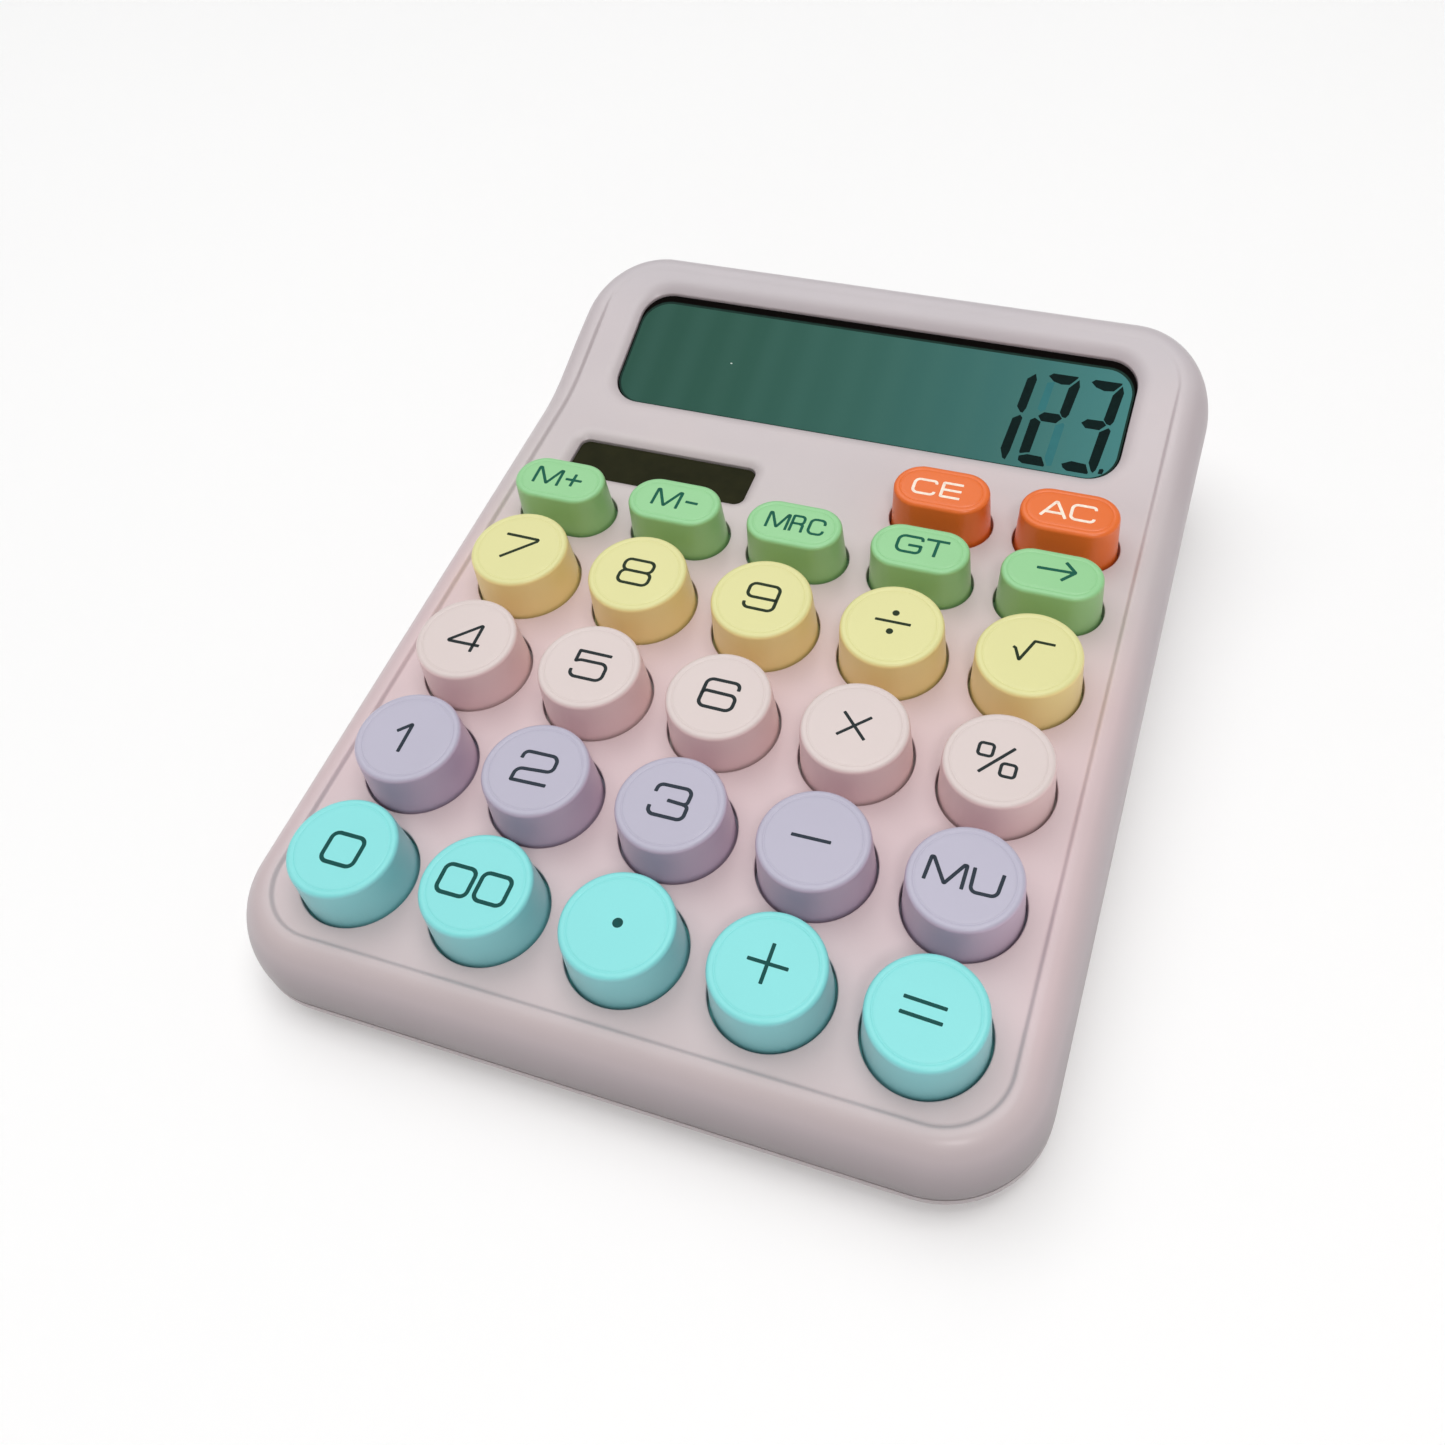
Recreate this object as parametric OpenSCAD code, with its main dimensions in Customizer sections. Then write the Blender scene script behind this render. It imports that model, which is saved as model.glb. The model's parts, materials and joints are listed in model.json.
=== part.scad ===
// Desk calculator with round and oval keys, built as separate parts. Millimetres, +Z up, +Y towards the display.

/* [Case] */
// Full width of the case
case_w = 108.6; // [100:0.2:120]
// Front edge of the case, measured from the front key row along the deck
case_front = 15.8; // [15:0.1:20]
// Rear edge of the case, measured from the front key row along the deck
case_rear = 125; // [122:0.1:130]
// Corner radius of the case in plan
corner_r = 14; // [10:0.5:16]
// Radius of the rolled upper rim
rim_r = 6.5; // [4:0.1:8]
// Height of the rim above the key deck
rim_h = 0.5; // [0.2:0.1:1]
// Width of the rim, outer edge to the deck
rim_w = 4.9; // [4:0.1:6]
// Wall thickness of the upper case
wall = 2.2; // [1.6:0.1:2.6]
// Wall thickness of the lower case
base_wall = 2; // [1.6:0.1:2.6]
// Slope of the key deck to the desk, degrees
deck_slope = 4; // [2:0.5:6]
// Slope of the display to the key deck, degrees
display_tilt = 15.5; // [10:0.5:20]
// Where the display surface bends up, from the front key row
bend_y = 93.1; // [90:0.1:96]
// Height of the deck above the desk at the front key row
deck_h = 14.6; // [13:0.1:18]
// Depth of the joint between the two case halves below the deck
part_z = 8.8; // [7:0.1:10]
// Gap between the two case halves
part_gap = 0.15; // [0.1:0.05:0.4]

/* [Keys] */
// Spacing of the key columns
pitch_x = 19; // [18:0.1:20]
// Spacing of the round key rows
pitch_y = 17.56; // [17:0.02:19]
// Row position of the five oval keys
oval_y = 67.4; // [66:0.1:69]
// Row position of the two clearing keys
clear_y = 79.65; // [79:0.05:81]
// Height of the key tops above the deck
key_h = 6.84; // [5:0.02:8]
// Radius of a round key top
key_r = 7.15; // [6:0.05:8]
// Radius of a round key at the deck
key_base_r = 7.58; // [7:0.05:8]
// Radius of a round key hole
hole_r = 7.9; // [7.8:0.01:8.3]
// Half depth of an oval key top
oval_r = 4.2; // [3.5:0.1:5]
// Key travel
travel = 2.5; // [1.5:0.1:3]

/* [Display] */
// Half width of the display window
win_x = 42.6; // [38:0.1:44]
// Near edge of the window, along the display surface from the bend
win_s0 = 1.14; // [0:0.02:3]
// Far edge of the window, along the display surface from the bend
win_s1 = 23.56; // [20:0.02:25]
// Corner radius of the window
win_r = 5; // [3:0.1:6]

/* [Battery] */
// Diameter of the cell
cell_d = 10.5; // [10:0.1:11]
// Length of the cell
cell_l = 44.5; // [44:0.1:45]
// Half width of the battery door
door_x = 29.8; // [28:0.1:32]

/* [Hidden] */
$fn = 96;
W = case_w / 2;
foot_h = 1;
floor_top = foot_h + base_wall;
ys0 = -case_front * cos(deck_slope) + part_z * sin(deck_slope);
ys1 = case_rear * cos(deck_slope) + part_z * sin(deck_slope);
y_off = -(ys0 + ys1) / 2;
tt = tan(display_tilt);
fl_z0 = -wall - 0.3;           // top of the key flange
fl_z1 = fl_z0 - 1.1;           // underside of the key flange
mat_z0 = -7.2;                 // top of the rubber mat sheet
pcb_z0 = -8.2;                 // top of the circuit board
pcb_z1 = -9.8;                 // underside of the circuit board
post_top = -part_z - 0.2;      // where the lower posts meet the upper bosses
boss_bot = -part_z - 0.1;
pcb_pos = [for (x = [-1.5 * pitch_x, 1.5 * pitch_x], y = [pitch_y / 2, 2.5 * pitch_y, 89]) [x, y]];
case_pos = [[-48.8, pitch_y / 2], [48.8, pitch_y / 2], [-48.8, 61], [48.8, 61], [-48.6, 112], [48.6, 112]];
foot_pos = [[-41, -3], [41, -3], [-41, 106], [41, 106]];
lcd_pos = [[-49.2, 2.6], [49.2, 2.6], [-49.2, 12], [49.2, 12]];
cell_y = 106;
cell_z = foot_h + 1.6 + 0.3 + cell_d / 2;
key_xy = [
  [-2, 0], [-1, 0], [0, 0], [1, 0], [2, 0],
  [-2, 1], [-1, 1], [0, 1], [1, 1], [2, 1],
  [-2, 2], [-1, 2], [0, 2], [1, 2], [2, 2],
  [-2, 3], [-1, 3], [0, 3], [1, 3], [2, 3]];
oval_xy = concat([for (i = [-2:2]) [i * pitch_x, oval_y]], [[pitch_x, clear_y], [2 * pitch_x, clear_y]]);
all_keys = concat([for (k = key_xy) [k[0] * pitch_x, k[1] * pitch_y]], oval_xy);

c_case = [0.82, 0.77, 0.78];
c_dark = [0.05, 0.06, 0.06];
c_cyan = [0.52, 0.91, 0.90];
c_lilac = [0.79, 0.76, 0.84];
c_cream = [0.90, 0.86, 0.84];
c_yellow = [0.91, 0.92, 0.68];
c_green = [0.58, 0.85, 0.60];
c_orange = [0.92, 0.47, 0.20];
c_metal = [0.75, 0.75, 0.77];

// ---- frames: the floor frame, the key deck frame and the display frame ----
module base() { translate([0, y_off, 0]) children(); }
module deck() { translate([0, y_off, deck_h]) rotate([deck_slope, 0, 0]) children(); }
module disp() { deck() translate([0, bend_y, 0]) rotate([display_tilt, 0, 0]) children(); }

module along_y(y0, y1) { translate([0, y1, 0]) rotate([90, 0, 0]) linear_extrude(y1 - y0) children(); }
module along_x(x0, x1) { translate([x0, 0, 0]) rotate([90, 0, 90]) linear_extrude(x1 - x0) children(); }

// ---- a rounded-rectangle block with a rolled upper edge ----
module quarter(cx, cy, r, sx) {
  intersection() {
    translate([cx, cy]) circle(r);
    translate([sx > 0 ? cx : cx - r, cy]) square(r);
  }
}
module sec_half(R, r, top, bot) {
  translate([0, bot]) square([R - r, top - bot]);
  translate([R - r, bot]) square([r, top - r - bot]);
  quarter(R - r, top - r, r, 1);
}
module sec_full(w, r, top, bot) {
  translate([-(w - r), bot]) square([2 * (w - r), top - bot]);
  translate([-w, bot]) square([r, top - r - bot]);
  translate([w - r, bot]) square([r, top - r - bot]);
  quarter(w - r, top - r, r, 1);
  quarter(-(w - r), top - r, r, -1);
}
module block_front(w, y0, yb, R, r, top, bot) {
  along_y(y0 + R, yb) sec_full(w, r, top, bot);
  along_x(-(w - R), w - R) translate([y0 + R, 0]) mirror([1, 0]) sec_half(R, r, top, bot);
  translate([w - R, y0 + R, 0]) rotate([0, 0, -90]) rotate_extrude(angle = 90) sec_half(R, r, top, bot);
  translate([-(w - R), y0 + R, 0]) rotate([0, 0, 180]) rotate_extrude(angle = 90) sec_half(R, r, top, bot);
}
module lift() { translate([0, bend_y, 0]) multmatrix([[1, 0, 0, 0], [0, 1, 0, 0], [0, tt, 1, 0]]) translate([0, -bend_y, 0]) children(); }
module outer_top() {
  block_front(W, -case_front, bend_y, corner_r, rim_r, rim_h, -part_z);
  intersection() {
    lift() mirror([0, 1, 0]) block_front(W, -case_rear, -bend_y, corner_r, rim_r, rim_h, -part_z - 20);
    translate([-60, bend_y, -part_z]) cube([120, 60, 60]);
  }
}
module plan(inset) {
  x = W - inset; r = corner_r - inset; y0 = -case_front + inset; y1 = case_rear - inset;
  translate([-x, y0 + r]) square([2 * x, y1 - y0 - 2 * r]);
  translate([-x + r, y0]) square([2 * (x - r), y1 - y0]);
  for (sx = [-1, 1], y = [y0 + r, y1 - r]) translate([sx * (x - r), y]) circle(r);
}
module side_below(z, bot) { // region of the side view under the surface offset by z
  polygon([[-30, bot], [-30, z], [bend_y, z], [150, z + tt * (150 - bend_y)], [150, bot]]);
}
module side_above(z) {
  polygon([[-30, z], [bend_y, z], [150, z + tt * (150 - bend_y)], [150, 60], [-30, 60]]);
}
module slot2d(a, b, r) { // stadium: half length a, half depth b
  if (a - b > 0.01) translate([-(a - b), -b]) square([2 * (a - b), 2 * b]);
  for (s = [-1, 1]) translate([s * (a - b), 0]) circle(b);
}
module rrect(x0, x1, y0, y1, r) {
  translate([x0 + r, y0]) square([x1 - x0 - 2 * r, y1 - y0]);
  translate([x0, y0 + r]) square([x1 - x0, y1 - y0 - 2 * r]);
  for (x = [x0 + r, x1 - r], y = [y0 + r, y1 - r]) translate([x, y]) circle(r);
}

module top_case() color(c_case) deck() {
  difference() {
    outer_top();
    // recessed deck
    intersection() {
      translate([0, 0, -5]) linear_extrude(60) plan(rim_w);
      along_x(-60, 60) side_above(0);
    }
    // cavity
    intersection() {
      translate([0, 0, -20]) linear_extrude(60) plan(wall);
      along_x(-60, 60) side_below(-wall, -19);
    }
    // key holes
    for (k = key_xy) translate([k[0] * pitch_x, k[1] * pitch_y, -4]) cylinder(h = 8, r = hole_r);
    for (k = oval_xy) translate([k[0], k[1], -4]) linear_extrude(8) slot2d(hole_r + 0.05, oval_r + hole_r - key_r + 0.05);
    // solar window
    translate([0, 0, -4]) linear_extrude(8) rrect(-43, -12.2, 75.9, 84.2, 1.6);
    // display window
    translate([0, bend_y, 0]) rotate([display_tilt, 0, 0]) translate([0, 0, -4]) linear_extrude(8) rrect(-win_x, win_x, win_s0, win_s1, win_r);
  }
  // bosses for the circuit board
  for (p = pcb_pos) difference() {
    translate([p[0], p[1], pcb_z0 + 0.02]) cylinder(h = -wall - pcb_z0 + 0.38, r = 2.7);
    translate([p[0], p[1], pcb_z0 - 1]) cylinder(h = 6, r = 0.97);
  }
  // bosses for the case screws
  for (p = case_pos) difference() {
    intersection() {
      translate([p[0], p[1], boss_bot]) cylinder(h = 30, r = 2.6);
      along_x(-60, 60) side_below(-wall + 0.4, -19);
    }
    translate([p[0], p[1], boss_bot - 1]) cylinder(h = 6.2, r = 1.22);
  }
  // bosses for the display frame
  translate([0, bend_y, 0]) rotate([display_tilt, 0, 0]) for (p = lcd_pos) difference() {
    translate([p[0], p[1], -4.75]) cylinder(h = 3, r = 2.2);
    translate([p[0], p[1], -5.5]) cylinder(h = 3, r = 0.82);
  }
}

// ---- lower case, in the floor frame ----
module lower_outer() {
  mirror([0, 0, 1]) {
    block_front(W, ys0, 50, corner_r, 3, -foot_h, -32);
    mirror([0, 1, 0]) block_front(W, -ys1, -50, corner_r, 3, -foot_h, -32);
  }
}
module lower_plan(inset) {
  x = W - inset; r = corner_r - inset;
  rrect(-x, x, ys0 + inset, ys1 - inset, r);
}
module deck_r() { translate([0, 0, deck_h]) rotate([deck_slope, 0, 0]) children(); }
module under_joint(z) { // everything under a plane parallel to the deck
  deck_r() translate([-80, -60, z - 60]) cube([160, 260, 60]);
}
module bottom_case() color(c_case) base() {
  difference() {
    union() {
      difference() {
        intersection() { lower_outer(); under_joint(-part_z - part_gap); }
        translate([0, 0, floor_top]) linear_extrude(40) lower_plan(base_wall);
      }
      // locating lip inside the upper case
      intersection() {
        difference() {
          translate([0, 0, floor_top]) linear_extrude(40) lower_plan(2.4);
          translate([0, 0, floor_top - 1]) linear_extrude(42) lower_plan(3.5);
          deck_r() for (p = case_pos) translate([p[0], p[1], post_top]) cylinder(h = 8, r = 2.85);
        }
        under_joint(-part_z + 1.3);
      }
      // posts for the case screws
      intersection() {
        deck_r() for (p = case_pos) translate([p[0], p[1], -28]) cylinder(h = 28 + post_top, r = 3.3);
        translate([0, 0, floor_top - 0.5]) linear_extrude(40) lower_plan(1);
      }
      // battery tub and door rails
      translate([-33.5, 96, floor_top - 0.5]) cube([67, ys1 - 97, 1.3]);
      translate([-28.3, cell_y - 6.8, floor_top]) cube([53.6, 13.6, 12]);
    }
    // battery cavity
    translate([-27, cell_y - 5.6, foot_h + 1]) cube([51, 11.2, 12.8]);
    // contact slots
    translate([-27, cell_y - 2.2, 13]) cube([0.8, 4.4, 4]);
    translate([23.3, cell_y - 2.2, 13]) cube([0.7, 4.4, 4]);
    // door channel
    translate([-door_x - 0.2, 97.7, 0]) cube([2 * door_x + 0.4, 40, foot_h + 0.8]);
    translate([-door_x - 1.7, 97.7, foot_h + 0.8 - 0.01]) cube([2 * door_x + 3.4, 40, 0.81]);
    // foot recesses
    for (p = foot_pos) translate([p[0], p[1], 0]) cylinder(h = foot_h + 0.6, r = 5.1);
    // screw holes
    deck_r() for (p = case_pos) {
      translate([p[0], p[1], -30]) cylinder(h = 30, r = 1.32);
      translate([p[0], p[1], -30]) cylinder(h = 30 - 11.9, r = 2.35);
    }
  }
}
module battery_door() color(c_case) base() {
  difference() {
    intersection() {
      union() {
        translate([-door_x, 98, foot_h - 0.5]) cube([2 * door_x, 40, 0.5 + 0.75]);
        translate([-door_x - 1.5, 98, foot_h + 0.85]) cube([2 * door_x + 3, 40, 0.65]);
        translate([-door_x, 98, foot_h]) cube([2 * door_x, 40, 1.5]);
      }
      lower_outer();
    }
    for (i = [0:4]) translate([-8, 116 + 1.6 * i, foot_h - 1]) cube([16, 0.8, 1.35]);
  }
}
module rubber_feet() color([0.25, 0.24, 0.24]) base()
  for (p = foot_pos) translate([p[0], p[1], 0]) cylinder(h = foot_h + 0.58, r = 5);

// ---- battery ----
module battery_cell() color([0.20, 0.32, 0.25]) base() translate([0, cell_y, cell_z]) rotate([0, 90, 0]) {
  translate([0, 0, -21]) cylinder(h = cell_l - 0.9, r = cell_d / 2);
  translate([0, 0, -21 + cell_l - 1]) cylinder(h = 1, r = 1.9);
}
module battery_plate() color(c_metal) base() {
  translate([23.55, cell_y - 4.4, 3.6]) cube([0.35, 8.8, 9]);
  translate([23.55, cell_y - 1.9, 12.4]) cube([0.35, 3.8, 3.4]);
}
module battery_spring() color(c_metal) base() {
  translate([-26.9, cell_y - 4.4, 3.6]) cube([0.35, 8.8, 9]);
  translate([-26.9, cell_y - 1.9, 12.4]) cube([0.35, 3.8, 3.4]);
  translate([-26.9, cell_y, cell_z]) rotate([0, 90, 0]) {
    for (i = [0:4]) translate([0, 0, 0.6 + 1.15 * i]) rotate_extrude() translate([3.6 - 0.35 * i, 0]) circle(0.36);
    for (i = [0:3]) rotate([0, 0, 90 * i]) translate([3.42 - 0.35 * i, 0, 0.6 + 1.15 * i]) cylinder(h = 1.15, r = 0.3);
  }
}
module wire(pts, r) {
  for (i = [0:len(pts) - 2]) {
    d = pts[i + 1] - pts[i];
    l = norm(d);
    translate(pts[i]) rotate([0, acos(d[2] / l), atan2(d[1], d[0])]) cylinder(h = l, r = r);
  }
  for (i = [1:len(pts) - 2]) translate(pts[i]) sphere(r * 1.2);
}
module battery_wires() color([0.75, 0.15, 0.12]) base() {
  wire([[23.72, cell_y, 15.85], [23.72, cell_y, 16.8], [21, 98.9, 15.9], [20, 96.9, 14.2], [18, 94.3, 10.2], [18, 89, 10.0]], 0.45);
  translate([-3, 0, 0]) mirror([1, 0, 0])
    wire([[23.72, cell_y, 15.85], [23.72, cell_y, 16.8], [21, 98.9, 15.9], [20, 96.9, 14.2], [18, 94.3, 10.2], [18, 89, 10.0]], 0.45);
}

// ---- display ----
module lcd_gasket() color(c_dark) disp() {
  difference() {
    union() {
      translate([0, 0, -2.75]) linear_extrude(0.55) rrect(-45.6, 45.6, -1.0, 24.8, 3);
      translate([0, 0, -2.75]) linear_extrude(1.75) rrect(-win_x + 0.08, win_x - 0.08, win_s0 + 0.08, win_s1 - 0.08, win_r - 0.08);
    }
    translate([0, 0, -4]) linear_extrude(8) rrect(-win_x + 0.5, win_x - 0.5, win_s0 + 0.5, win_s1 - 0.5, win_r - 0.5);
  }
}
module lcd_panel() color([0.27, 0.47, 0.43]) disp() {
  translate([-45.8, -1.1, -3.9]) cube([91.6, 26, 1.1]);
  translate([-45.8, 1.4, -4.95]) cube([91.6, 23.5, 1.05]);
}
module lcd_holder() color([0.86, 0.86, 0.84]) disp() difference() {
  union() {
    translate([-45.8, 0.6, -6.2]) cube([91.6, 24, 1.2]);
    for (p = lcd_pos) translate([p[0] < 0 ? -51.3 : 44, p[1] - 2.6, -6.2]) cube([7.3, 5.2, 1.2]);
    for (p = lcd_pos) translate([p[0] < 0 ? -51.3 : 46.2, p[1] - 2.6, -6.2]) cube([5.1, 5.2, 1.42]);
  }
  for (p = lcd_pos) translate([p[0], p[1], -7]) cylinder(h = 4, r = 1.05);
}
module lcd_screws() color(c_metal) disp() for (p = lcd_pos) difference() {
  union() {
    translate([p[0], p[1], -6.2]) cylinder(h = 3.4, r = 0.8);
    translate([p[0], p[1], -7.4]) cylinder(h = 1.2, r = 1.7);
  }
  for (a = [0, 90]) translate([p[0], p[1], -7.5]) rotate([0, 0, a]) translate([-1, -0.2, 0]) cube([2, 0.4, 0.7]);
}
function dz(s, z) = [bend_y + s * cos(display_tilt) - z * sin(display_tilt), s * sin(display_tilt) + z * cos(display_tilt)];
module lcd_ribbon() color([0.80, 0.55, 0.20]) deck() along_x(-24, 24) polygon([
  dz(1.2, -3.93), dz(-0.9, -3.93), [91.2, -7.95], [88.6, -8.03], [88.6, -8.17], [91.32, -8.1], dz(-0.84, -4.1), dz(1.2, -4.08)]);

// ---- solar cell ----
module solar_cell() color([0.16, 0.14, 0.08]) deck() {
  translate([-45, 74.4, -3.35]) cube([34.6, 11.2, 1.1]);
  translate([0, 0, -2.6]) linear_extrude(1.3) rrect(-42.85, -12.35, 76.05, 84.05, 1.45);
}
module solar_pad() color([0.2, 0.2, 0.2]) deck()
  translate([-40, 76.5, mat_z0 + 0.02]) cube([24, 7, -3.37 - mat_z0 - 0.02]);
module solar_wires() color([0.15, 0.15, 0.15]) deck() for (x = [-43, -12.5])
  wire([[x, 84.6, -3.85], [x, 87.6, -3.85], [x, 87.6, pcb_z0 + 0.1]], 0.45);

// ---- circuit board, mat ----
module main_board() color([0.12, 0.38, 0.22]) deck() difference() {
  translate([0, 0, pcb_z1]) linear_extrude(pcb_z0 - pcb_z1) rrect(-45.2, 45.2, -8.2, 92, 2);
  for (p = pcb_pos) translate([p[0], p[1], pcb_z1 - 1]) cylinder(h = 4, r = 1.25);
}
module contact_pads() color([0.85, 0.68, 0.30]) deck()
  for (k = all_keys) translate([k[0], k[1], pcb_z0 + 0.01]) cylinder(h = 0.06, r = 1.75);
module processor_blob() color(c_dark) deck()
  translate([-4, 72, pcb_z1 - 1.2]) cylinder(h = 1.19, r = 7);
module board_parts() color([0.30, 0.28, 0.26]) deck() {
  translate([14, 78, pcb_z1 - 2.65]) rotate([0, 90, 0]) cylinder(h = 8, r = 2.6);
  translate([-30, 76, pcb_z1 - 2.0]) cube([5, 3.4, 1.98]);
  for (i = [0:3]) translate([-22 + 4 * i, 60, pcb_z1 - 0.6]) cube([1.25, 2, 0.59]);
  for (i = [0:2]) translate([10 + 4 * i, 60, pcb_z1 - 0.9]) cube([1.6, 3.2, 0.89]);
}
module board_screws() color(c_metal) deck() for (p = pcb_pos) difference() {
  union() {
    translate([p[0], p[1], pcb_z1]) cylinder(h = 5.2, r = 0.95);
    translate([p[0], p[1], pcb_z1 - 1.3]) cylinder(h = 1.3, r = 1.9);
  }
  for (a = [0, 90]) translate([p[0], p[1], pcb_z1 - 1.4]) rotate([0, 0, a]) translate([-1.1, -0.22, 0]) cube([2.2, 0.44, 0.8]);
}
module case_screws() color(c_metal) deck() for (p = case_pos) difference() {
  union() {
    translate([p[0], p[1], -12]) cylinder(h = 7.6, r = 1.2);
    translate([p[0], p[1], -13.6]) cylinder(h = 1.65, r = 2.1);
  }
  for (a = [0, 90]) translate([p[0], p[1], -13.7]) rotate([0, 0, a]) translate([-1.3, -0.25, 0]) cube([2.6, 0.5, 1]);
}
module keypad_mat() color([0.88, 0.88, 0.86]) deck() difference() {
  union() {
    translate([0, 0, pcb_z0 + 0.02]) linear_extrude(mat_z0 - pcb_z0 - 0.02) rrect(-44.9, 44.9, -7.8, 86.2, 2);
    for (k = all_keys) translate([k[0], k[1], mat_z0 - 0.1]) cylinder(h = 2.6, r1 = 3.35, r2 = 2.7);
  }
  for (k = all_keys) {
    translate([k[0], k[1], mat_z0]) cylinder(h = 2.6, r1 = 2.6, r2 = 1.95);
    translate([k[0], k[1], pcb_z0 - 1]) cylinder(h = 2.1, r = 2.6);
  }
  for (p = pcb_pos) if (p[1] < 80) translate([p[0], p[1], pcb_z0 - 1]) cylinder(h = 4, r = 3.1);
}

// ---- keys ----
// half profile of a key: e widens the skirt, r is the half depth of the top
module key_half(r) {
  b = r + key_base_r - key_r;
  polygon([
    [0, key_h], [r - 1.05, key_h], [r - 0.95, key_h - 0.12], [r - 0.8, key_h - 0.12], [r - 0.7, key_h],
    [r - 0.4, key_h], [r - 0.13, key_h - 0.12], [r, key_h - 0.38],
    [b, 0], [b, fl_z0], [b + 0.85, fl_z0], [b + 0.85, fl_z1], [b - 0.9, fl_z1],
    [b - 0.9, -1.5], [r - 1.15, key_h - 1.6], [1.55, key_h - 1.6], [1.55, -5.6], [0, -5.6]]);
}
module round_key(i, j, c) color(c) deck() translate([i * pitch_x, j * pitch_y, 0])
  rotate_extrude() key_half(key_r);
module oval_skirt(r) {
  b = r + key_base_r - key_r;
  polygon([
    [0, key_h], [r - 1.05, key_h], [r - 0.95, key_h - 0.12], [r - 0.8, key_h - 0.12], [r - 0.7, key_h],
    [r - 0.4, key_h], [r - 0.13, key_h - 0.12], [r, key_h - 0.38],
    [b, 0], [b, fl_z0], [b + 0.6, fl_z0], [b + 0.6, fl_z1], [b - 0.85, fl_z1],
    [b - 0.85, -1.5], [r - 1.15, key_h - 1.6], [0, key_h - 1.6]]);
}
module oval_key(x, y, c) color(c) deck() translate([x, y, 0]) {
  a = key_r - oval_r;
  translate([a, 0, 0]) rotate([0, 0, -90]) rotate_extrude(angle = 180) oval_skirt(oval_r);
  translate([-a, 0, 0]) rotate([0, 0, 90]) rotate_extrude(angle = 180) oval_skirt(oval_r);
  along_x(-a, a) { oval_skirt(oval_r); mirror([1, 0]) oval_skirt(oval_r); }
  translate([0, 0, -5.6]) cylinder(h = 5.6 + key_h - 1.5, r = 1.55);
}
module key_0() round_key(-2, 0, c_cyan);
module key_00() round_key(-1, 0, c_cyan);
module key_dot() round_key(0, 0, c_cyan);
module key_plus() round_key(1, 0, c_cyan);
module key_equals() round_key(2, 0, c_cyan);
module key_1() round_key(-2, 1, c_lilac);
module key_2() round_key(-1, 1, c_lilac);
module key_3() round_key(0, 1, c_lilac);
module key_minus() round_key(1, 1, c_lilac);
module key_mu() round_key(2, 1, c_lilac);
module key_4() round_key(-2, 2, c_cream);
module key_5() round_key(-1, 2, c_cream);
module key_6() round_key(0, 2, c_cream);
module key_times() round_key(1, 2, c_cream);
module key_percent() round_key(2, 2, c_cream);
module key_7() round_key(-2, 3, c_yellow);
module key_8() round_key(-1, 3, c_yellow);
module key_9() round_key(0, 3, c_yellow);
module key_divide() round_key(1, 3, c_yellow);
module key_root() round_key(2, 3, c_yellow);
module key_mem_plus() oval_key(-2 * pitch_x, oval_y, c_green);
module key_mem_minus() oval_key(-pitch_x, oval_y, c_green);
module key_mem_recall() oval_key(0, oval_y, c_green);
module key_total() oval_key(pitch_x, oval_y, c_green);
module key_arrow() oval_key(2 * pitch_x, oval_y, c_green);
module key_ce() oval_key(pitch_x, clear_y, c_orange);
module key_ac() oval_key(2 * pitch_x, clear_y, c_orange);

top_case();
bottom_case();
battery_door();
battery_cell();
battery_plate();
battery_spring();
lcd_gasket();
lcd_panel();
lcd_holder();
lcd_ribbon();
solar_cell();
solar_pad();
main_board();
contact_pads();
keypad_mat();
processor_blob();
board_parts();
battery_wires();
solar_wires();
board_screws();
case_screws();
lcd_screws();
rubber_feet();
key_0();
key_00();
key_dot();
key_plus();
key_equals();
key_1();
key_2();
key_3();
key_minus();
key_mu();
key_4();
key_5();
key_6();
key_times();
key_percent();
key_7();
key_8();
key_9();
key_divide();
key_root();
key_mem_plus();
key_mem_minus();
key_mem_recall();
key_total();
key_arrow();
key_ce();
key_ac();
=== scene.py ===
"""Looks for the desk calculator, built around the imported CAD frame. Metres, in the CAD's own frame.

K means the key deck's frame in millimetres: X across, Y up the deck from the front key row, Z off the deck.
D means the display's frame: X across, Y (s) up the display from the bend, Z off it.
"""
import json
import math

import bpy
import numpy as np
from mathutils import Matrix, Vector
from mathutils.geometry import delaunay_2d_cdt

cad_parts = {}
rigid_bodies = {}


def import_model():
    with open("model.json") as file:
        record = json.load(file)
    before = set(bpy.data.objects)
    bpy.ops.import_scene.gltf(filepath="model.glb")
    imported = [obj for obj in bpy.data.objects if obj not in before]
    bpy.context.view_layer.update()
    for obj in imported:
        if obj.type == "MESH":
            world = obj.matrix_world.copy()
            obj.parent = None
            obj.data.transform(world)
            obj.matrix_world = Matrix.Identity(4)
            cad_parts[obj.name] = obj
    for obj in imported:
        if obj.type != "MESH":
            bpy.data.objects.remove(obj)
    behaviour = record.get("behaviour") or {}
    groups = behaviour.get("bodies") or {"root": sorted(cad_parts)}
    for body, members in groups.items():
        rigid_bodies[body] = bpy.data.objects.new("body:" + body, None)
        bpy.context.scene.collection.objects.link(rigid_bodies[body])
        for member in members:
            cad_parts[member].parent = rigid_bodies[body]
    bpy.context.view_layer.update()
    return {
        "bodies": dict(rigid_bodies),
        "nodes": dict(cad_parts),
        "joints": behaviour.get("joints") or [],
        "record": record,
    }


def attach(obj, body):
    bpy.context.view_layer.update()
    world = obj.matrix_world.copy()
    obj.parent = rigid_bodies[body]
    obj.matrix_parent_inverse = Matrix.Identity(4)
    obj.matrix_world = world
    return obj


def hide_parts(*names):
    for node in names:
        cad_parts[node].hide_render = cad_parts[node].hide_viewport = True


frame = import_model()
NODES = frame["nodes"]

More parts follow.
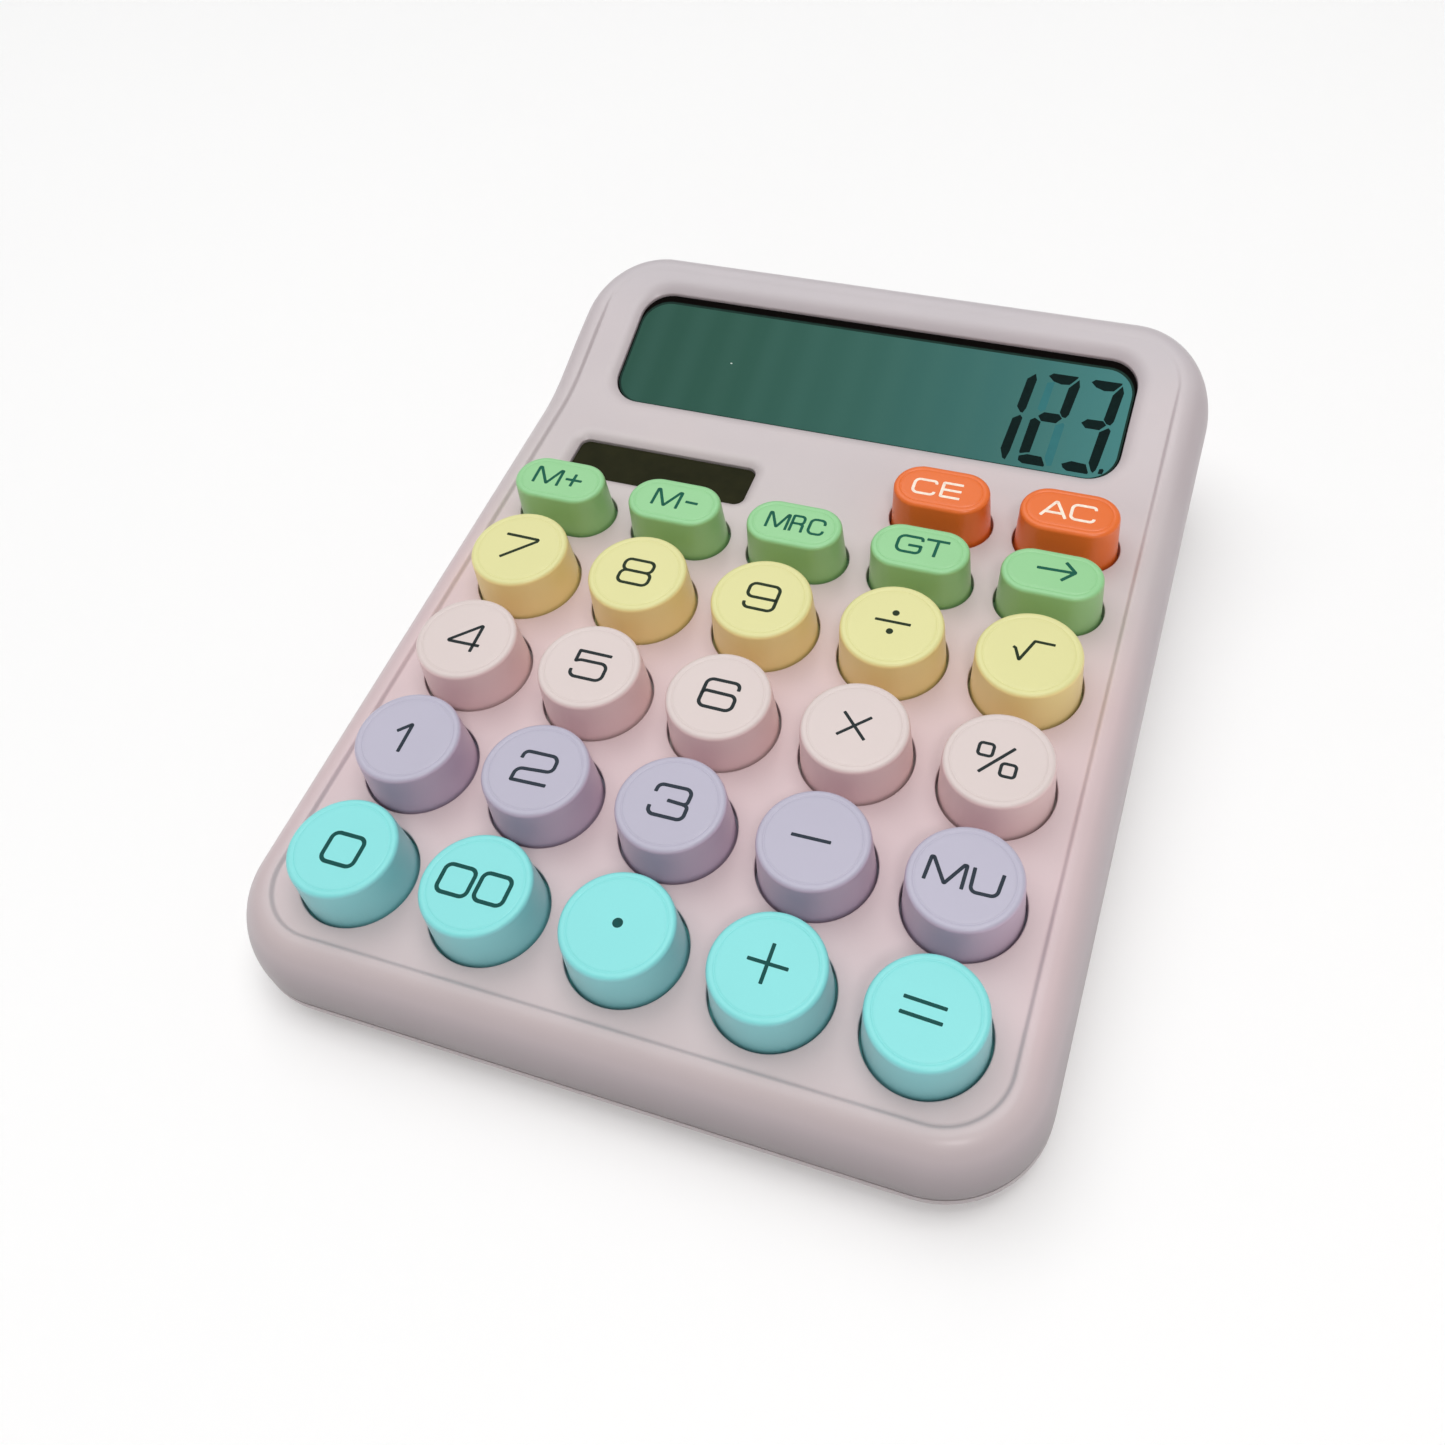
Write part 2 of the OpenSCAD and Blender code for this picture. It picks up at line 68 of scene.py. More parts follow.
# ------------------------------------------------------------------ frames
SLOPE = math.radians(4.0)
CS, SN = math.cos(SLOPE), math.sin(SLOPE)
Y_OFF, DECK_H = -55.0808541131347, 14.6
TILT = math.radians(15.5)
BEND_Y, BEND_R = 93.1, 35.0
BEND_T = BEND_R * math.tan(TILT / 2)
W, YF, YR, CR = 54.3, -15.8, 125.0, 14.0
WALL, PART_Z = 2.2, 8.8
KEY_H, KEY_R, KEY_B = 6.84, 7.22, 7.58


def row(p):
    """K mm to row-frame metres."""
    p = np.asarray(p, float)
    x, y, z = p[..., 0], p[..., 1], p[..., 2]
    return np.stack([x, y * CS - z * SN + Y_OFF, y * SN + z * CS + DECK_H], -1) / 1000.0


def from_d(p):
    """D mm to K mm."""
    p = np.asarray(p, float)
    x, s, z = p[..., 0], p[..., 1], p[..., 2]
    c, n = math.cos(TILT), math.sin(TILT)
    return np.stack([x, BEND_Y + s * c - z * n, s * n + z * c], -1)


def deckz(y):
    """Height of the deck surface: flat, then a round bend, then the display slope."""
    y = np.asarray(y, float)
    a = y - (BEND_Y - BEND_T)
    top = BEND_R * math.sin(TILT)
    arc = BEND_R - np.sqrt(BEND_R**2 - np.clip(a, 0, top) ** 2)
    return np.where(a > top, (y - BEND_Y) * math.tan(TILT), np.where(a > 0, arc, 0.0))


# ------------------------------------------------------------------ mesh helper
class Shell:
    """Collects loops of points in K mm and bridges them; faces follow the surface order."""

    def __init__(self):
        self.v, self.f, self.flat = [], [], {}

    def loop(self, pts):
        start = len(self.v)
        self.v.extend([tuple(map(float, p)) for p in pts])
        return list(range(start, len(self.v)))

    def bridge(self, a, b, closed=True):
        n = len(a)
        for i in range(n if closed else n - 1):
            j = (i + 1) % n
            self.f.append((a[i], a[j], b[j], b[i]))

    def chain(self, loops, close=False):
        for a, b in zip(loops, loops[1:] + (loops[:1] if close else [])):
            self.bridge(a, b)

    def cap(self, loop, flip=False):
        self.f.append(tuple(reversed(loop)) if flip else tuple(loop))

    def make(self, name, material, smooth=True, convert=row):
        me = bpy.data.meshes.new(name)
        co = convert(np.array(self.v))
        me.from_pydata(co.tolist(), [], self.f)
        me.validate()
        me.materials.append(material)
        me.polygons.foreach_set("use_smooth", [smooth] * len(me.polygons))
        me.update()
        o = bpy.data.objects.new(name, me)
        bpy.context.scene.collection.objects.link(o)
        return o


def join(name, objs):
    """One object from several with the same material."""
    verts, faces, smooth = [], [], []
    for o in objs:
        base = len(verts)
        verts += [tuple(v.co) for v in o.data.vertices]
        faces += [tuple(base + i for i in p.vertices) for p in o.data.polygons]
        smooth += [p.use_smooth for p in o.data.polygons]
    me = bpy.data.meshes.new(name)
    me.from_pydata(verts, [], faces)
    me.materials.append(objs[0].data.materials[0])
    me.polygons.foreach_set("use_smooth", smooth)
    me.update()
    for o in objs:
        m = o.data
        bpy.data.objects.remove(o)
        bpy.data.meshes.remove(m)
    out = bpy.data.objects.new(name, me)
    bpy.context.scene.collection.objects.link(out)
    return out


# ------------------------------------------------------------------ materials
def lin(rgb):
    return [((c / 255) / 12.92 if c / 255 <= 0.04045 else ((c / 255 + 0.055) / 1.055) ** 2.4) for c in rgb] + [1.0]


class Mat:
    """A Principled material whose colour and bump come from nodes."""

    def __init__(self, name, rough=0.45, spec=0.5, metal=0.0, coat=0.0, coat_rough=0.1):
        self.m = bpy.data.materials.new(name)
        self.m.use_nodes = True
        self.nt = self.m.node_tree
        self.b = self.nt.nodes["Principled BSDF"]
        self.b.inputs["Roughness"].default_value = rough
        self.b.inputs["Specular IOR Level"].default_value = spec
        self.b.inputs["Metallic"].default_value = metal
        self.b.inputs["Coat Weight"].default_value = coat
        self.b.inputs["Coat Roughness"].default_value = coat_rough
        self.tc = self.nt.nodes.new("ShaderNodeTexCoord")

    def node(self, kind, **props):
        n = self.nt.nodes.new(kind)
        for k, v in props.items():
            setattr(n, k, v)
        return n

    def link(self, a, b):
        self.nt.links.new(a, b)

    def coords(self, scale=(1, 1, 1), offset=(0, 0, 0)):
        mp = self.node("ShaderNodeMapping")
        mp.inputs["Scale"].default_value = scale
        mp.inputs["Location"].default_value = offset
        self.link(self.tc.outputs["Object"], mp.inputs["Vector"])
        return mp.outputs["Vector"]

    def noise(self, scale, detail=2.0, rough=0.5, vec=None, distortion=0.0):
        n = self.node("ShaderNodeTexNoise")
        n.inputs["Scale"].default_value = scale
        n.inputs["Detail"].default_value = detail
        n.inputs["Roughness"].default_value = rough
        n.inputs["Distortion"].default_value = distortion
        self.link(vec if vec is not None else self.coords(), n.inputs["Vector"])
        return n.outputs["Fac"]

    def ramp(self, fac, stops, interpolation="LINEAR"):
        r = self.node("ShaderNodeValToRGB")
        r.color_ramp.interpolation = interpolation
        els = r.color_ramp.elements
        els[0].position, els[0].color = stops[0]
        els[1].position, els[1].color = stops[-1]
        for pos, col in stops[1:-1]:
            e = els.new(pos)
            e.color = col
        self.link(fac, r.inputs["Fac"])
        return r.outputs["Color"]

    def mix(self, fac, a, b):
        m = self.node("ShaderNodeMix", data_type="RGBA")
        if isinstance(fac, float):
            m.inputs[0].default_value = fac
        else:
            self.link(fac, m.inputs[0])
        for sock, val in ((m.inputs[6], a), (m.inputs[7], b)):
            if isinstance(val, (list, tuple)):
                sock.default_value = val
            else:
                self.link(val, sock)
        return m.outputs[2]

    def value(self, fac, lo, hi, a=0.0, b=1.0):
        r = self.node("ShaderNodeMapRange")
        r.inputs["From Min"].default_value = lo
        r.inputs["From Max"].default_value = hi
        r.inputs["To Min"].default_value = a
        r.inputs["To Max"].default_value = b
        self.link(fac, r.inputs["Value"])
        return r.outputs["Result"]

    def bump(self, height, strength, distance):
        n = self.node("ShaderNodeBump")
        n.inputs["Strength"].default_value = strength
        n.inputs["Distance"].default_value = distance
        self.link(height, n.inputs["Height"])
        self.link(n.outputs["Normal"], self.b.inputs["Normal"])
        return n

    def color(self, out):
        self.link(out, self.b.inputs["Base Color"])

    def roughness(self, out):
        self.link(out, self.b.inputs["Roughness"])


def shade(c, k):
    return [min(1.0, c[0] * k), min(1.0, c[1] * k), min(1.0, c[2] * k), 1.0]


def moulded(name, c, rough=0.42, spec=0.45, grain=0.10, var=0.035, specks=0.0, tint=None, seed=0.0, mottle=1.0, painted_side_light=None, painted_low_shade=None, painted_light_zones=None, coat=0.0):
    """Injection-moulded plastic: slow colour drift, fine grain in the bump, a slightly uneven sheen and a few dust
    specks; optionally painted light and shade on steep faces, painted shade towards the bottom and painted light and
    shade in bands along Y.
    """
    m = Mat(name, rough, spec, 0.0, coat, 0.14)
    vec = m.coords(offset=(seed, seed * 0.7, seed * 1.3))
    slow = m.noise(38.0, 3.0, 0.55, vec)
    base = m.ramp(slow, [(0.30, shade(c, 1 - var)), (0.52, shade(c, 1.0)), (0.72, tint or shade(c, 1 + var))])
    fine = m.noise(2600.0, 2.0, 0.6, vec)
    base = m.mix(m.value(fine, 0.3, 0.7, 0.0, 0.05 * mottle), base, shade(c, 0.86))
    if specks:
        vo = m.node("ShaderNodeTexVoronoi", feature="F1")
        vo.inputs["Scale"].default_value = 95.0
        vo.inputs["Randomness"].default_value = 1.0
        m.link(vec, vo.inputs["Vector"])
        gate = m.node("ShaderNodeTexWhiteNoise", noise_dimensions="3D")
        m.link(vo.outputs["Position"], gate.inputs["Vector"])
        some = m.value(gate.outputs["Value"], 1 - specks, 1 - specks + 0.01)
        near = m.value(vo.outputs["Distance"], 0.020, 0.036, 1.0, 0.0)
        mul = m.node("ShaderNodeMath", operation="MULTIPLY")
        m.link(some, mul.inputs[0])
        m.link(near, mul.inputs[1])
        half = m.node("ShaderNodeMath", operation="MULTIPLY")
        half.inputs[1].default_value = 0.55
        m.link(mul.outputs[0], half.inputs[0])
        base = m.mix(half.outputs[0], base, shade(c, 0.42))
    # painted light and shade: the colour is scaled band by band along Y, darker at the front, brighter and pinker over
    # the middle of the deck and darker and cooler towards the display
    if painted_light_zones:
        sep = m.node("ShaderNodeSeparateXYZ")
        m.link(m.tc.outputs["Object"], sep.inputs["Vector"])
        painted_zone_light = m.ramp(m.value(sep.outputs["Y"], -0.07, 0.07), [((y + 0.07) / 0.14, col) for y, col in painted_light_zones])
        mul = m.node("ShaderNodeMix", data_type="RGBA", blend_type="MULTIPLY")
        mul.inputs[0].default_value = 1.0
        m.link(base, mul.inputs[6])
        m.link(painted_zone_light, mul.inputs[7])
        base = mul.outputs[2]
    # painted light and shade: faces that turn away from straight up take another colour, standing in for how light
    # falls on them and the pink deck reflected in them
    if painted_side_light:
        sep = m.node("ShaderNodeSeparateXYZ")
        m.link(m.tc.outputs["Normal"], sep.inputs["Vector"])
        base = m.mix(m.value(sep.outputs["Z"], 0.35, 0.9, 1.0, 0.0), base, painted_side_light)
    # painted shade: the colour darkens towards the bottom of the part, standing in for shade under the rim
    if painted_low_shade:
        sep = m.node("ShaderNodeSeparateXYZ")
        m.link(m.tc.outputs["Object"], sep.inputs["Vector"])
        base = m.mix(m.value(sep.outputs["Z"], painted_low_shade[0], painted_low_shade[1], painted_low_shade[2], 0.0), base, painted_low_shade[3])
    m.color(base)
    patch = m.noise(120.0, 3.0, 0.6, vec)
    m.roughness(m.value(patch, 0.25, 0.75, rough - 0.04, rough + 0.05))
    h = m.noise(5200.0, 3.0, 0.65, vec)
    m.bump(h, grain, 0.00003)
    return m.m


def metal(name, c, rough=0.3, brushed=(1, 1, 1)):
    m = Mat(name, rough, 0.5, 1.0)
    n = m.noise(900.0, 3.0, 0.6, m.coords(brushed))
    m.color(m.ramp(n, [(0.3, shade(c, 0.86)), (0.7, shade(c, 1.05))]))
    m.roughness(m.value(n, 0.3, 0.7, rough - 0.06, rough + 0.10))
    m.bump(n, 0.12, 0.00004)
    return m.m


def soft(name, c, rough=0.7, scale=1400.0, bump=0.25, spec=0.3):
    m = Mat(name, rough, spec)
    n = m.noise(scale, 4.0, 0.65)
    m.color(m.ramp(n, [(0.3, shade(c, 0.75)), (0.7, shade(c, 1.2))]))
    m.roughness(m.value(n, 0.3, 0.7, rough - 0.05, min(1.0, rough + 0.08)))
    m.bump(n, bump, 0.00008)
    return m.m


CASE = [0.600, 0.532, 0.530, 1]
# the case's steep faces take a darker painted shade, its colour darkens towards the bottom of the rim as painted shade,
# and bands along Y paint light and shade across the deck
M_case = moulded("case_satin", CASE, rough=0.36, spec=0.42, coat=0.05, grain=0.12, var=0.02, specks=0.10, tint=[0.615, 0.540, 0.533, 1], seed=0.13, painted_side_light=[0.478, 0.410, 0.430, 1], painted_low_shade=(0.0052, 0.0126, 0.90, [0.170, 0.140, 0.148, 1]),
                 painted_light_zones=[(-0.07, (0.88, 0.85, 0.86, 1)), (-0.062, (0.97, 0.92, 0.935, 1)), (-0.050, (1.07, 0.965, 0.99, 1)), (-0.004, (1.07, 0.965, 0.985, 1)), (0.020, (0.99, 1.0, 1.01, 1)), (0.052, (0.97, 0.98, 1.01, 1)), (0.063, (0.91, 0.945, 0.985, 1)), (0.07, (0.90, 0.94, 0.98, 1))])
M_under = moulded("case_satin_lower", [0.455, 0.400, 0.410, 1], rough=0.44, spec=0.42, grain=0.16, var=0.02, seed=0.31)
# each key's steep sides take a painted side light: another tone than the top, mostly lighter and pinker, standing in
# for light on the sides and the pink deck reflected in them
M_cyan = moulded("key_cyan", [0.235, 0.735, 0.725, 1], rough=0.34, spec=0.45, var=0.02, seed=0.5, painted_side_light=[0.250, 0.620, 0.650, 1])
M_lilac = moulded("key_lilac", [0.475, 0.455, 0.560, 1], rough=0.34, spec=0.45, var=0.02, seed=0.9, painted_side_light=[0.560, 0.435, 0.560, 1])
M_cream = moulded("key_cream", [0.695, 0.600, 0.575, 1], rough=0.34, spec=0.45, var=0.02, specks=0.03, seed=1.3, painted_side_light=[0.820, 0.600, 0.590, 1])
M_yellow = moulded("key_yellow", [0.735, 0.715, 0.330, 1], rough=0.34, spec=0.45, var=0.02, seed=1.7, painted_side_light=[0.900, 0.720, 0.300, 1])
M_green = moulded("key_green", [0.295, 0.625, 0.295, 1], rough=0.32, spec=0.45, var=0.025, seed=2.1, painted_side_light=[0.300, 0.560, 0.230, 1])
M_orange = moulded("key_orange", [0.800, 0.165, 0.030, 1], rough=0.32, spec=0.45, var=0.025, seed=2.6, painted_side_light=[0.900, 0.170, 0.025, 1])


def ink(name, c):
    m = Mat(name, 0.55, 0.15)
    n = m.noise(1800.0, 3.0, 0.6)
    m.color(m.ramp(n, [(0.25, shade(c, 0.85)), (0.75, shade(c, 1.15))]))
    m.roughness(m.value(n, 0.3, 0.7, 0.45, 0.58))
    m.bump(n, 0.08, 0.00002)
    return m.m


I_cyan = ink("ink_teal", lin((4, 74, 70)))
I_lilac = ink("ink_slate", lin((44, 53, 64)))
I_cream = ink("ink_grey", lin((36, 44, 46)))
I_yellow = ink("ink_olive", lin((36, 50, 30)))
I_green = ink("ink_green", lin((20, 92, 72)))
I_white = ink("ink_white", lin((255, 232, 214)))

PAINT = {"cyan": (M_cyan, I_cyan), "lilac": (M_lilac, I_lilac), "cream": (M_cream, I_cream), "yellow": (M_yellow, I_yellow), "green": (M_green, I_green), "orange": (M_orange, I_white)}

# ------------------------------------------------------------------ outlines
SIDE_Y = np.concatenate([np.linspace(YF + CR, 86.5, 24)[:-1], np.linspace(86.5, 99.5, 19)[:-1], np.linspace(99.5, YR - CR, 6)])
ARC_N = 28
EDGE_N = 20


def case_loop(off):
    """Points round the case, anticlockwise from above, inset by off."""
    w, r = W - off, CR - off
    cx, y0, y1 = W - CR, YF + CR, YR - CR
    pts = []

    def arc(ax, ay, a0):
        for k in range(ARC_N + 1):
            a = math.radians(a0 + 90.0 * k / ARC_N)
            pts.append((ax + r * math.cos(a), ay + r * math.sin(a)))

    arc(cx, y0, -90)
    pts.extend((w, y) for y in SIDE_Y[1:-1])
    arc(cx, y1, 0)
    pts.extend((x, YR - off) for x in np.linspace(cx, -cx, EDGE_N + 1)[1:-1])
    arc(-cx, y1, 90)
    pts.extend((-w, y) for y in SIDE_Y[::-1][1:-1])
    arc(-cx, y0, 180)
    pts.extend((x, YF + off) for x in np.linspace(-cx, cx, EDGE_N + 1)[1:-1])
    return np.array(pts)


def round_loop(cx, cy, a, b, q=0.0, n=36, straight=1):
    """A stadium: half length a, half depth b, grown by q; a circle where a == b."""
    r, h = b + q, a - b
    pts = []
    for s, a0 in ((1, -90), (-1, 90)):
        for k in range(n + 1):
            t = math.radians(a0 + 180.0 * k / n)
            if h < 1e-9 and k == n:
                continue
            pts.append((cx + s * h + r * math.cos(t), cy + r * math.sin(t)))
        if h > 1e-9:
            for k in range(1, straight):
                f = k / straight
                pts.append((cx + s * h * (1 - 2 * f), cy + s * r))
    return np.array(pts)


def rect_loop(x0, x1, y0, y1, r, q=0.0, n=12, nx=30, ny=8):
    """A rounded rectangle grown by q."""
    pts = []
    c = [(x1 - r, y0 + r, -90), (x1 - r, y1 - r, 0), (x0 + r, y1 - r, 90), (x0 + r, y0 + r, 180)]
    rr = r + q
    for i, (ax, ay, a0) in enumerate(c):
        for k in range(n + 1):
            t = math.radians(a0 + 90.0 * k / n)
            pts.append((ax + rr * math.cos(t), ay + rr * math.sin(t)))
        bx, by, b0 = c[(i + 1) % 4]
        t = math.radians(b0)
        p0, p1 = np.array(pts[-1]), np.array((bx + rr * math.cos(t), by + rr * math.sin(t)))
        m = ny if i % 2 == 0 else nx
        for k in range(1, m):
            pts.append(tuple(p0 + (p1 - p0) * k / m))
    return np.array(pts)


def inside(pts, loop):
    """Which points are inside a closed loop."""
    x, y = pts[:, 0], pts[:, 1]
    out = np.zeros(len(pts), bool)
    a, b = loop, np.roll(loop, -1, 0)
    for (x0, y0), (x1, y1) in zip(a, b):
        if y0 == y1:
            continue
        cross = ((y0 > y) != (y1 > y)) & (x < (x1 - x0) * (y - y0) / (y1 - y0) + x0)
        out ^= cross
    return out


def fill(outer, holes, extra):
    """Triangles between an outer loop and hole loops; indices count outer, then holes, then extra points."""
    allp = [outer] + holes + ([extra] if len(extra) else [])
    pts = np.concatenate(allp)
    edges, start = [], 0
    for lp in [outer] + holes:
        n = len(lp)
        edges += [(start + i, start + (i + 1) % n) for i in range(n)]
        start += n
    got = delaunay_2d_cdt([Vector(map(float, p)) for p in pts], edges, [], 0, 1e-6)
    src = [o[0] if o else -1 for o in got[3]]
    if len(src) != len(pts) or min(src) < 0:
        raise ValueError(("crossing loops", [tuple(got[0][i]) for i, v in enumerate(src) if v < 0][:6], len(src), len(pts)))
    tri = np.array([[src[i] for i in f] for f in got[2]])
    c = pts[tri].mean(1)
    keep = inside(c, outer)
    for h in holes:
        keep &= ~inside(c, h)
    tri = tri[keep]
    p = pts[tri]
    area = np.cross(p[:, 1] - p[:, 0], p[:, 2] - p[:, 0])
    tri[area < 0] = tri[area < 0][:, ::-1]
    return tri[np.abs(area) > 1e-9]


KEYS = {}
for j, (line, hue) in enumerate((
    (("key_0", "key_00", "key_dot", "key_plus", "key_equals"), "cyan"),
    (("key_1", "key_2", "key_3", "key_minus", "key_mu"), "lilac"),
    (("key_4", "key_5", "key_6", "key_times", "key_percent"), "cream"),
    (("key_7", "key_8", "key_9", "key_divide", "key_root"), "yellow"),
)):
    for i, n in enumerate(line):
        KEYS[n] = ((i - 2) * 19.0, j * 17.56, KEY_R, KEY_R, hue)
for i, n in enumerate(("key_mem_plus", "key_mem_minus", "key_mem_recall", "key_total", "key_arrow")):
    KEYS[n] = ((i - 2) * 19.0, 67.4, KEY_R, 4.2, "green")
KEYS["key_ce"] = (19.0, 79.65, KEY_R, 4.2, "orange")
KEYS["key_ac"] = (38.0, 79.65, KEY_R, 4.2, "orange")

WIN = (-42.6, 42.6, BEND_Y + 1.14 * math.cos(TILT), BEND_Y + 23.56 * math.cos(TILT), 5.0)
SUN = (-43.0, -12.2, 75.9, 84.2, 1.6)


# ------------------------------------------------------------------ upper case
def upper_case():
    s = Shell()
    rows_y = np.arange(87.6, 99.1, 0.95)

    def outer(off, dz=None, z=None, lift=0.0):
        p = case_loop(off)
        # the rim stands proud of the deck; the step dies away behind the display
        f = np.clip((p[:, 1] - 104.0) / 15.0, 0, 1)
        e = 1 - 0.9 * f * f * (3 - 2 * f)
        return s.loop(np.c_[p, np.full(len(p), z) if z is not None else deckz(p[:, 1]) + dz + lift * e])

    # openings: each gives its deck-level loop, its wall and its underside loop
    deck_holes, under_holes, deck_ids, under_ids = [], [], [], []

    def opening(fn, lip, fillet):
        """fn(q) is the loop q outside the opening; lip = (width, depth) of the soft frame round it."""
        ids = []

        def put(q, z):
            p = fn(q)
            ids.append(s.loop(np.c_[p, deckz(p[:, 1]) + z]))

        lw, ld = lip
        if lw:
            edge_q = fillet * (1 - math.sin(math.atan(2 * ld / lw)))
            put(lw + 0.12, 0.0)
            for f in (1.0, 0.9, 0.78, 0.66, 0.54, 0.42, 0.3, 0.18, 0.08):
                q = edge_q + f * (lw - edge_q)
                put(q, -ld * (1 - f) ** 2)
            slope = math.atan(2 * ld / (lw - edge_q))
            zc = -ld - fillet * math.cos(slope)
            for k in range(6):
                a = slope + (math.pi / 2 - slope) * k / 5
                put(fillet * (1 - math.sin(a)), zc + fillet * math.cos(a))
        else:
            put(fillet + 0.22, 0.0)
            for k in range(6):
                a = math.pi / 2 * k / 5
                put(fillet * (1 - math.sin(a)), -fillet * (1 - math.cos(a)))
            zc = -fillet
        put(0.0, zc - 0.12)
        put(0.0, -WALL + 0.12)
        put(0.0, -WALL)
        put(0.12, -WALL)
        s.chain(ids)
        deck_holes.append(fn(lw + 0.12 if lw else fillet + 0.22))
        under_holes.append(fn(0.12))
        deck_ids.append(ids[0])
        under_ids.append(ids[-1])

    for n, (cx, cy, a, b, hue) in KEYS.items():
        if a == b:
            opening(lambda q, cx=cx, cy=cy: round_loop(cx, cy, 7.9, 7.9, q), (0, 0), 0.20)
        else:
            opening(lambda q, cx=cx, cy=cy: round_loop(cx, cy, 7.95, 5.0, q, straight=3), (0, 0), 0.20)
    opening(lambda q: rect_loop(*WIN, q), (2.4, 0.9), 0.32)
    opening(lambda q: rect_loop(*SUN, q, nx=12, ny=4), (1.9, 0.85), 0.25)

    # from the underside out and round to the deck
    ids = [outer(2.62, -WALL), outer(2.45, -WALL - 0.06), outer(2.28, -WALL - 0.22), outer(2.2, -WALL - 0.5)]
    ids += [outer(2.2, z=-PART_Z + 0.1), outer(2.2, z=-PART_Z), outer(2.1, z=-PART_Z)]
    ids += [outer(0.3, z=-PART_Z), outer(0.09, z=-PART_Z + 0.06), outer(0.0, z=-PART_Z + 0.25)]
    MA, MB, E = 4.9, 8.4, 0.62
    for k in range(20, -1, -1):
        t = math.pi / 2 * k / 20
        ids.append(outer(MA * (1 - math.sin(t)), -MB * (1 - math.cos(t)), lift=E))
    for q, z in ((5.05, 0.99), (5.16, 0.955), (5.26, 0.88), (5.35, 0.76), (5.44, 0.60), (5.53, 0.42), (5.62, 0.25), (5.72, 0.12), (5.83, 0.045), (5.96, 0.01), (6.12, 0.0), (6.3, 0.0)):
        ids.append(outer(q, 0.0, lift=E * z))
    s.chain(ids)

    def grid(outer_loop, holes, gap):
        xs = np.arange(-46.5, 46.6, 3.1)
        p = np.array([(x, y) for y in rows_y for x in xs])
        keep = inside(p, outer_loop)
        for h in holes:
            keep &= ~inside(p, h)
            d = np.sqrt(((p[:, None] - h[None]) ** 2).sum(-1)).min(1)
            keep &= d > gap
        d = np.sqrt(((p[:, None] - outer_loop[None]) ** 2).sum(-1)).min(1)
        return p[keep & (d > gap)]

    for off, z, holes, hole_ids, rim, flip in ((6.3, 0.0, deck_holes, deck_ids, ids[-1], False), (2.62, -WALL, under_holes, under_ids, ids[0], True)):
        lp = case_loop(off)
        extra = grid(lp, holes, 0.45)
        tri = fill(lp, holes, extra)
        more = s.loop(np.c_[extra, deckz(extra[:, 1]) + z])
        table = np.array(rim + [i for h in hole_ids for i in h] + more)
        for t in table[tri]:
            s.f.append(tuple(int(i) for i in (t[::-1] if flip else t)))

    o = s.make("top_case_shell", M_case)
    # the screw bosses under it, as tubes of their own
    bosses = []
    spots = [(x, y, 2.7, 0.97, -WALL + 0.3, -8.18) for x in (-28.5, 28.5) for y in (8.78, 43.9, 89.0)]
    spots += [(x, y, 2.6, 1.22, None, -8.9) for x, y in ((-48.8, 8.78), (48.8, 8.78), (-48.8, 61), (48.8, 61), (-48.6, 112), (48.6, 112))]
    for x, y, r1, r0, top, bot in spots:
        t = Shell()
        top = float(deckz(y)) - WALL + 0.3 if top is None else top
        rings = [t.loop([(x + r * math.cos(a), y + r * math.sin(a), z) for a in np.linspace(0, 2 * math.pi, 33)[:-1]])
                 for r, z in ((r1, top), (r0, top), (r0, bot + 0.25), (r0 + 0.2, bot), (r1 - 0.2, bot), (r1, bot + 0.25))]
        t.chain([rings[i] for i in (1, 2, 3, 4, 5, 0)], close=True)
        bosses.append(t.make("boss", M_case))
    # each tube's faces look outwards
    for b in bosses:
        b.data.flip_normals() if signed(b.data) < 0 else None
    out = join("top_case_shell", [o] + bosses)
    normals(out)
    return out


def signed(me):
    co = np.zeros(len(me.vertices) * 3)
    me.vertices.foreach_get("co", co)
    co = co.reshape(-1, 3)
    total = 0.0
    for p in me.polygons:
        v = [co[i] for i in p.vertices]
        for k in range(1, len(v) - 1):
            total += float(np.dot(v[0], np.cross(v[k], v[k + 1])))
    return total


def normals(o):
    """Exact shading normals on the deck, area-weighted ones elsewhere."""
    me = o.data
    me.update()
    n = np.array([v.normal for v in me.vertices])
    co = np.array([v.co for v in me.vertices]) * 1000
    # back to K
    y = (co[:, 1] - Y_OFF) * CS + (co[:, 2] - DECK_H) * SN
    z = -(co[:, 1] - Y_OFF) * SN + (co[:, 2] - DECK_H) * CS
    x = co[:, 0]
    on = (np.abs(z - deckz(y)) < 0.004) & (np.abs(x) < W - 5.95)
    e = 0.01
    slope = (deckz(y + e) - deckz(y - e)) / (2 * e)
    k = np.stack([np.zeros_like(x), -slope, np.ones_like(x)], -1)
    k /= np.linalg.norm(k, axis=1)[:, None]
    r = np.stack([k[:, 0], k[:, 1] * CS - k[:, 2] * SN, k[:, 1] * SN + k[:, 2] * CS], -1)
    n[on] = r[on]
    me.normals_split_custom_set_from_vertices([tuple(map(float, v)) for v in n])


top = upper_case()
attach(top, "case")
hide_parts("top_case")


